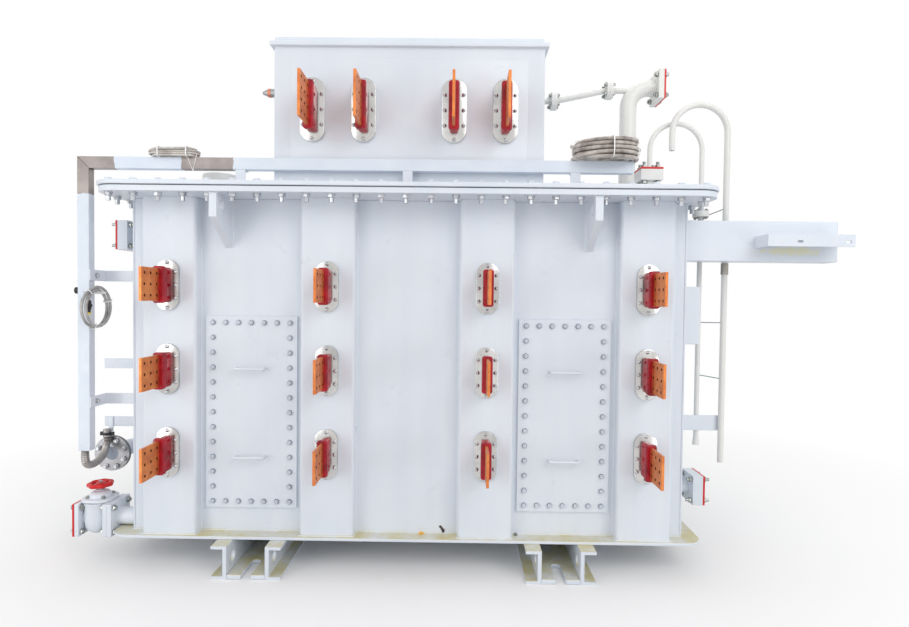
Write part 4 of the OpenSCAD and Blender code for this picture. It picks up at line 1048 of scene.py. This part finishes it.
HANK_TIES = (-0.060, 0.072)
HANK_TIE_AT = (0.0105, 0.0215)
HANK_TIE_HALF = (0.0125, 0.0225)
PER_TURN = 28
CLIMB = 0.25
TIE_W = 0.005
TIE_T = 0.0014
TIE_TAIL = ((0.520, 0.0), (0.545, -0.064), (0.562, 0.012))


def cable_sheath(name, colour, soil_and_shade, scale=16.0):
    """Plastic cable sheath with random darker patches, partly grime from handling and partly painted shade
    for the dark gaps between turns.
    """
    material, tree, shader = principled(name, Roughness=0.34, Specular_IOR_Level=0.55)
    place = here(tree)
    # Painted shade: the grime colour is darker than grime alone, standing also for shade in the gaps between
    # turns and at the cable's edges.
    blotch = ramp(tree, noise(tree, place, scale, 5.0, 0.65), 0.42, 0.72)
    feed(tree, shader, Base_Color=blend_colours(tree, blotch, colour, soil_and_shade))
    roughen(tree, shader, noise(tree, place, 260.0), distance=0.0002)
    return material


def wound(columns, layers, step, inner, start=0.0, per_turn=PER_TURN):
    """Radius, angle and layer height along a winding that goes out and in, one layer on another."""
    turns_out = columns - 1
    run = turns_out + CLIMB
    spots = []
    for layer in range(layers):
        last = layer == layers - 1
        count = round((turns_out if last else run) * per_turn)
        for i in range(count):
            along = i / per_turn
            across = min(along, turns_out) / turns_out
            across = across if layer % 2 == 0 else 1 - across
            lift = max(0.0, along - turns_out) / CLIMB
            angle = start + 2 * math.pi * (layer * run + along)
            height = (layer + lift * lift * (3 - 2 * lift)) * step
            spots.append((inner + across * turns_out * step, angle, height))
    return spots


def cable_curve(name, points, diameter, material, node):
    """A round cable along points, as one open curve that stands for a packed coil."""
    data = bpy.data.curves.new(name, "CURVE")
    data.dimensions = "3D"
    data.bevel_depth = diameter / 2
    data.bevel_resolution = 3
    data.use_fill_caps = True
    spline = data.splines.new("POLY")
    spline.points.add(len(points) - 1)
    for knot, point in zip(spline.points, points):
        knot.co = (*point, 1)
    data.materials.append(material)
    piece = bpy.data.objects.new(name, data)
    bpy.context.scene.collection.objects.link(piece)
    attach(piece, "transformer")
    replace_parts(piece, node)
    return piece


def bunch_tie(bm, centre, out, up, half_out, half_up):
    """A nylon band round a bunch of cable, square to its run."""
    made = bmesh.ops.create_circle(bm, segments=28, radius=1.0)
    for vert in made["verts"]:
        x, y = vert.co.x, vert.co.y
        swell = (x ** 4 + y ** 4) ** -0.25
        vert.co = (x * swell * half_out, y * swell * half_up, -TIE_W / 2)
    band = bmesh.ops.extrude_edge_only(bm, edges=edges_of(made["verts"]))["geom"]
    bmesh.ops.translate(bm, vec=(0, 0, TIE_W), verts=only(bmesh.types.BMVert, band))
    faces = only(bmesh.types.BMFace, band)
    bmesh.ops.recalc_face_normals(bm, faces=faces)
    shell = bmesh.ops.solidify(bm, geom=faces, thickness=-TIE_T)
    verts = [v for f in faces for v in f.verts] + only(bmesh.types.BMVert, shell["geom"])
    verts = list(dict.fromkeys(verts))
    place = Matrix((out, up, out.cross(up))).transposed().to_4x4()
    bmesh.ops.transform(bm, matrix=Matrix.Translation(centre) @ place, verts=verts)


sheath = cable_sheath("cable_sheath", SHEATH, SHEATH_SOIL_AND_SHADE)
tie_nylon = rubber_like("tie_nylon", TIE_WHITE, 0.4)
coil_lo, coil_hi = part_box("large_coil")
coil_mid = (coil_lo + coil_hi) / 2
coil_out = (coil_hi.x - coil_lo.x) / 2


def coil_spot(reach, angle, height):
    """A point of the pile, which sags where it overhangs the tray."""
    spot = coil_mid + Vector((reach * math.cos(angle), COIL_DEEP * reach * math.sin(angle), 0))
    spot.z = coil_lo.z + height - COIL_SAG * max(0.0, tray_lo.y - spot.y)
    return spot


coil_inner = coil_out - COIL_D / 2 - (COIL_TURNS[0] - 1) * COIL_STEP
coil_points = []
for radius, angle, height in wound(*COIL_TURNS, COIL_STEP, coil_inner, math.pi):
    sway = sum(size * math.sin(rate * angle + start) for size, rate, start in COIL_SWAY)
    fan = COIL_FAN[0] + (COIL_FAN[1] - COIL_FAN[0]) * (0.5 + 0.5 * math.cos(angle + COIL_LEAN))
    coil_points.append(coil_spot(radius - COIL_IN + sway, angle, COIL_D / 2 + REST_GAP + height * fan))
large_coil = cable_curve("large_cable", coil_points, COIL_D, sheath, "large_coil")

flat_lo, flat_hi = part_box("flat_coil")
flat_mid = (flat_lo + flat_hi) / 2
flat_run = flat_hi.x - flat_lo.x - (flat_hi.y - flat_lo.y)
flat_points = []
for radius, angle, height in wound(*FLAT_TURNS, FLAT_STEP, FLAT_FOLD, FLAT_START):
    reach = flat_run / 2 - HANK_TAPER * (height / FLAT_STEP - HANK_WIDEST) ** 2
    end = math.copysign(reach, math.cos(angle))
    lift = height * (1.0 + HANK_LIFT * math.cos(angle))
    spot = flat_mid + Vector((end + radius * math.cos(angle), radius * math.sin(angle), 0))
    spot.z = flat_lo.z + FLAT_D / 2 + REST_GAP + lift
    if flat_points and (spot.x - flat_mid.x) * (flat_points[-1].x - flat_mid.x) < 0:
        flat_points += [flat_points[-1].lerp(spot, k / HANK_STEPS) for k in range(1, HANK_STEPS)]
    flat_points.append(spot)
hank_sheath = cable_sheath("hank_sheath", HANK, HANK_GRIME)
flat_coil = cable_curve("flat_cable", flat_points, FLAT_D, hank_sheath, "flat_coil")

ties = bmesh.new()
bunch_mid = coil_out - 2 * COIL_STEP - BUNCH_IN
for turn, height in COIL_TIES:
    out = Vector((math.cos(turn), math.sin(turn), 0))
    mid = coil_spot(bunch_mid, turn, height / 2 + TIE_UP)
    squeeze = (mid - coil_mid).xy.length / bunch_mid
    bunch_tie(ties, mid, out, Vector((0, 0, 1)), squeeze * (2 * COIL_STEP + TIE_OUT), height / 2)
for along in HANK_TIES:
    mid = Vector((flat_mid.x + along, flat_lo.y + HANK_TIE_AT[0], flat_lo.z + HANK_TIE_AT[1]))
    bunch_tie(ties, mid, Vector((0, 1, 0)), Vector((0, 0, 1)), *HANK_TIE_HALF)
tail_y = tray_lo.y - TIE_T
for start, end in zip(TIE_TAIL, TIE_TAIL[1:]):
    bead(ties, (tray_lo.x + start[0], tail_y, tray_hi.z + start[1]),
         (tray_lo.x + end[0], tail_y, tray_hi.z + end[1]), TIE_T)
finished(ties, "coil_ties", tie_nylon)

# Hanging sensor lead
# A shorter lead hangs on a peg at the duct, wound twice round and tied, with a plug at its end.
# The plug is black moulded plastic with a knurled ring and a yellow dust cap.
HANG_TURN = math.radians(90)
LEAD = (0.500, 0.500, 0.495, 1)
# The lead's darker tone is partly grime and partly painted shade of the cable's dark edges.
LEAD_SOIL_AND_SHADE = (0.150, 0.150, 0.155, 1)
LEAD_D = 0.0135
LEAD_STEP = 0.0145
LEAD_START = 1.62
LEAD_WIND = (2, 2)
LEAD_TURNS = 2.02
LEAD_TIES = (0.35, 2.3, 4.4)
LEAD_TIE_FIT = 1.08
LEAD_IN = 0.001
LEAD_TAIL = ((-0.034, 0.074, 0.005), (-0.049, 0.057, 0.002))
PLUG_ENTRY = (0.010, -0.004)
PLUG_SHAPE = ((0.0, 0.14), (0.009, 0.14), (0.009, 0.34), (0.012, 0.36), (0.012, 0.52), (0.0155, 0.53),
              (0.0155, 0.74), (0.012, 0.75), (0.012, 0.94), (0.010, 1.0), (0.0, 1.0))
CAP_R = 0.0095
CAP_SHARE = 0.15
CAP_YELLOW = (0.780, 0.560, 0.030, 1)
hang_lo, hang_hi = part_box("hanging_coil")
hang_mid = (hang_lo + hang_hi) / 2
hang_out = (hang_hi.z - hang_lo.z) / 2
ring_x = Vector((math.cos(HANG_TURN), math.sin(HANG_TURN), 0))
ring_y = Vector((-math.sin(HANG_TURN), math.cos(HANG_TURN), 0))
end_lo, end_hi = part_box("coil_connector")
end_mid = (end_lo + end_hi) / 2
plug_across = (end_mid - hang_mid).dot(ring_x)
plug_side = (end_mid - hang_mid).dot(ring_y)


def smooth_path(knots, steps):
    """A smooth run of points through knots."""
    points = []
    for i in range(len(knots) - 1):
        before, after = knots[max(i - 1, 0)], knots[min(i + 2, len(knots) - 1)]
        lead_in = knots[i] + (knots[i + 1] - before) / 6
        lead_out = knots[i + 1] - (after - knots[i]) / 6
        points += interpolate_bezier(knots[i], lead_in, lead_out, knots[i + 1], steps + 1)[:-1]
    return points + [knots[-1]]


def on_ring(across, height, side):
    """A point of the hanging coil, across the ring, up, and to its side."""
    return hang_mid + ring_x * across + Vector((0, 0, height)) + ring_y * side


lead_points = []
lead_inner = hang_out - LEAD_D / 2 - LEAD_STEP - LEAD_IN
lead_turns = wound(*LEAD_WIND, LEAD_STEP, lead_inner, LEAD_START)
for radius, angle, side in lead_turns[:round(LEAD_TURNS * PER_TURN)]:
    lead_points.append(on_ring(radius * math.cos(angle), radius * math.sin(angle), side - LEAD_STEP / 2))
above_plug = end_hi.z - hang_mid.z
tail = lead_points[-2:] + [on_ring(*knot) for knot in LEAD_TAIL]
tail += [on_ring(plug_across, above_plug + rise, plug_side) for rise in PLUG_ENTRY]
lead_points = lead_points[:-2] + smooth_path(tail, steps=5)
lead_sheath = cable_sheath("lead_sheath", LEAD, LEAD_SOIL_AND_SHADE)
lead_coil = cable_curve("hanging_cable", lead_points, LEAD_D, lead_sheath, "hanging_coil")
lead_ties = bmesh.new()
for turn in LEAD_TIES:
    out = ring_x * math.cos(turn) + Vector((0, 0, math.sin(turn)))
    half = LEAD_TIE_FIT * LEAD_STEP
    bunch_tie(lead_ties, hang_mid + out * (hang_out - LEAD_STEP), out, ring_y, half, half)
finished(lead_ties, "lead_ties", tie_nylon)
plug_l = end_hi.z - end_lo.z
plug_shape = [(radius, plug_l * share) for radius, share in PLUG_SHAPE]
plug_at = Matrix.Translation((end_mid.x, end_mid.y, end_lo.z))
plug_piece = lone_piece("lead_plug", black_plastic, "black_plastic", plug_at,
                        lambda bm: lathe(bm, plug_shape, steps=24))
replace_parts(plug_piece, "coil_connector")
cap_piece = lone_piece("lead_plug_cap", rubber_like("cap_yellow", CAP_YELLOW, 0.4), "black_plastic", plug_at,
                       lambda bm: disc(bm, CAP_R, plug_l * CAP_SHARE, 0.0, sides=20))

# Conduit hose
# Wound stainless hose carries the wires from the foot of the duct round to a clamp behind it.
# Its end is crimped in a steel ferrule, held in a black moulded clamp that hangs on a painted tab.
HOSE_D = 0.036
HOSE_ROUTE = ((-0.036, -0.024, 0.0), (-0.036, -0.024, -0.035), (-0.039, -0.012, -0.066),
              (-0.047, 0.024, -0.086), (-0.059, 0.080, -0.094), (-0.075, 0.146, -0.092),
              (-0.093, 0.204, -0.080), (-0.107, 0.243, -0.060), (-0.113, 0.265, -0.032),
              (-0.113, 0.265, -0.008))
HOSE_PITCH = 0.0085
HOSE_GROOVE = 0.84
HOSE_STEEL = (0.420, 0.395, 0.380, 1)
FERRULE = (0.0195, 0.040)
CLAMP = (0.0230, 0.013)
EAR = (0.016, 0.010, 0.020)
EAR_OUT = 0.029
EAR_ROUND = (0.003, 0.002)
CLAMP_UP = 0.010
TAB_T = 0.006
TAB_W = 0.025
TAB_ROUND = (0.001, 0.001)
DUCT_GAP = 0.004
duct_foot = Vector((duct_hi.x, duct_hi.y + DUCT_GAP, duct_lo.z))


def even_steps(points, step):
    """Points at even steps along a run of points."""
    spots, left = [points[0]], step
    for start, end in zip(points, points[1:]):
        run = (end - start).length
        while left <= run:
            spots.append(start.lerp(end, left / run))
            left += step
        left -= run
    return spots


def swept(bm, points, radii, sides=14):
    """A closed tube along points, with its own radius at each, drawn out ring by ring."""
    last = len(points) - 1
    aims = [(points[min(i + 1, last)] - points[max(i - 1, 0)]).normalized() for i in range(last + 1)]
    turn = aims[0].to_track_quat("Z", "Y")
    place = Matrix.Translation(points[0]) @ turn.to_matrix().to_4x4() @ Matrix.Scale(radii[0], 4)
    made = bmesh.ops.create_circle(bm, cap_ends=True, segments=sides, radius=1.0, matrix=place)
    ring = edges_of(made["verts"])
    for i in range(1, len(points)):
        turn = aims[i - 1].rotation_difference(aims[i]) @ turn
        onward = Matrix.Translation(points[i]) @ turn.to_matrix().to_4x4() @ Matrix.Scale(radii[i], 4)
        grown = bmesh.ops.extrude_edge_only(bm, edges=ring)["geom"]
        verts = only(bmesh.types.BMVert, grown)
        bmesh.ops.transform(bm, matrix=onward @ place.inverted(), verts=verts)
        ring = [e for e in only(bmesh.types.BMEdge, grown) if all(v in verts for v in e.verts)]
        place = onward
    bmesh.ops.holes_fill(bm, edges=ring)
    bmesh.ops.recalc_face_normals(bm, faces=bm.faces)


hose_knots = [duct_foot + Vector(p) for p in HOSE_ROUTE]
hose_path = smooth_path(hose_knots, steps=4)
hose_spots = even_steps(smooth_path(hose_knots, steps=20), HOSE_PITCH / 2)
hose_radii = [HOSE_D / 2 * (1 if i % 2 else HOSE_GROOVE) for i in range(len(hose_spots))]
hose_bm = bmesh.new()
swept(hose_bm, hose_spots, hose_radii)
hose_steel = plated_metal("hose_steel", HOSE_STEEL, (0.3, 0.5))
hose = finished(hose_bm, "conduit_hose_ribbed", hose_steel, crease=0.45)
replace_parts(hose, "conduit_hose")
gland_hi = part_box("hose_gland")[1]
hose_end = hose_path[-1]
lone_piece("hose_ferrule", hose_steel, "hose_steel", Matrix.Translation(hose_end),
           lambda bm: disc(bm, *FERRULE, 0.0, sides=28))
gland = bmesh.new()
disc(gland, *CLAMP, CLAMP_UP, sides=28)
for side in (-1, 1):
    rounded_block(gland, EAR, (side * EAR_OUT, 0, CLAMP_UP + CLAMP[1] / 2), *EAR_ROUND)
bmesh.ops.translate(gland, vec=hose_end, verts=gland.verts)
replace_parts(finished(gland, "hose_clamp", black_plastic), "hose_gland")
tab_h = gland_hi.z - hose_end.z - CLAMP_UP - CLAMP[1]
tab_at = Matrix.Translation((hose_end.x, gland_hi.y - TAB_T / 2, gland_hi.z - tab_h / 2))
lone_piece("hose_clamp_tab", tank_paint, "tank_paint", tab_at,
           lambda bm: rounded_block(bm, (TAB_W, TAB_T, tab_h), (0, 0, 0), *TAB_ROUND))

# Floor, light and camera
# A pale floor that fades to white, soft light from in front and above, and the photograph's viewpoint.
# Floor and sky are white only where they are seen, and give the object less light than that.
FLOOR = (0.95, 0.95, 0.95, 1)
FLOOR_BOUNCE = (0.58, 0.58, 0.58, 1)
FLOOR_R = 14.0
FLOOR_FADE = (1.6, 4.0)
AMBIENT = 0.75
FOCAL_PX = 559.7
FRAME_W = 909
SENSOR = 36.0
EYE = (0.0455, -3.3605, 1.314)
YAW, PITCH, ROLL = (math.radians(a) for a in (-0.47, -1.40, -0.66))
WHITE = (1.0, 1.0, 1.0, 1)
LAMPS = (("key", (3.2, -5.0, 4.6), (0, 0, 1.2), 3.5, 105),
         ("fill", (-4.0, -4.5, 2.6), (0, 0, 1.2), 3.5, 52),
         ("low_left", (-3.6, -3.4, 0.5), (0, -0.4, 0.1), 1.0, 16),
         ("low_right", (3.6, -3.4, 0.5), (0, -0.4, 0.1), 1.0, 16),
         ("top", (0.0, 0.5, 6.0), (0, 0.2, 0), 4.0, 55))


def seen_directly(tree):
    """One on what the camera, a gloss or a clear piece sees, and zero elsewhere."""
    path = add_node(tree, "LightPath").outputs
    first = combine(tree, "MAXIMUM", path["Is Camera Ray"], path["Is Glossy Ray"])
    return combine(tree, "MAXIMUM", first, path["Is Transmission Ray"])


floor_bm = bmesh.new()
bmesh.ops.create_circle(floor_bm, cap_ends=True, segments=96, radius=FLOOR_R)
floor_mesh = bpy.data.meshes.new("floor")
floor_bm.to_mesh(floor_mesh)
floor_bm.free()
floor = bpy.data.objects.new("floor", floor_mesh)
bpy.context.scene.collection.objects.link(floor)
floor_paint, tree, shader = principled("floor_paint", Roughness=0.9, Specular_IOR_Level=0.1)
feed(tree, shader, Base_Color=blend_colours(tree, seen_directly(tree), FLOOR_BOUNCE, FLOOR))
reach = add_node(tree, "VectorMath", {0: here(tree)}, operation="LENGTH").outputs["Value"]
fade = combine(tree, "MULTIPLY", ramp(tree, reach, *FLOOR_FADE), seen_directly(tree))
glow = add_node(tree, "Emission", {"Color": WHITE, "Strength": 1.0})
joined = add_node(tree, "MixShader", {0: fade, 1: shader.outputs[0], 2: glow.outputs[0]})
feed(tree, tree.nodes["Material Output"], Surface=joined.outputs[0])
floor_mesh.materials.append(floor_paint)

world = bpy.data.worlds.new("studio")
bpy.context.scene.world = world
world.use_nodes = True
tree = world.node_tree
sky = tree.nodes["Background"]
strength = ramp(tree, seen_directly(tree), 0.0, 1.0, AMBIENT, 1.0)
sky.inputs["Color"].default_value = WHITE
feed(tree, sky, Strength=strength)


def soft_box(name, at, aim, size, power):
    """A large square lamp."""
    lamp = bpy.data.lights.new(name, "AREA")
    lamp.shape = "SQUARE"
    lamp.size = size
    lamp.energy = power
    holder = bpy.data.objects.new(name, lamp)
    holder.location = at
    holder.rotation_euler = (Vector(aim) - Vector(at)).to_track_quat("-Z", "Y").to_euler()
    bpy.context.scene.collection.objects.link(holder)


for lamp in LAMPS:
    soft_box(*lamp)

forward = Vector((math.sin(YAW) * math.cos(PITCH), math.cos(YAW) * math.cos(PITCH), math.sin(PITCH)))
level = Vector((math.cos(YAW), -math.sin(YAW), 0))
down = forward.cross(level)
right = math.cos(ROLL) * level + math.sin(ROLL) * down
below = math.cos(ROLL) * down - math.sin(ROLL) * level
camera = bpy.data.cameras.new("camera")
camera.sensor_fit = "HORIZONTAL"
camera.sensor_width = SENSOR
camera.lens = FOCAL_PX * SENSOR / FRAME_W
viewpoint = bpy.data.objects.new("camera", camera)
viewpoint.matrix_world = Matrix.Translation(EYE) @ Matrix((right, -below, -forward)).transposed().to_4x4()
bpy.context.scene.collection.objects.link(viewpoint)
bpy.context.scene.camera = viewpoint
bpy.context.scene.view_settings.view_transform = "Standard"
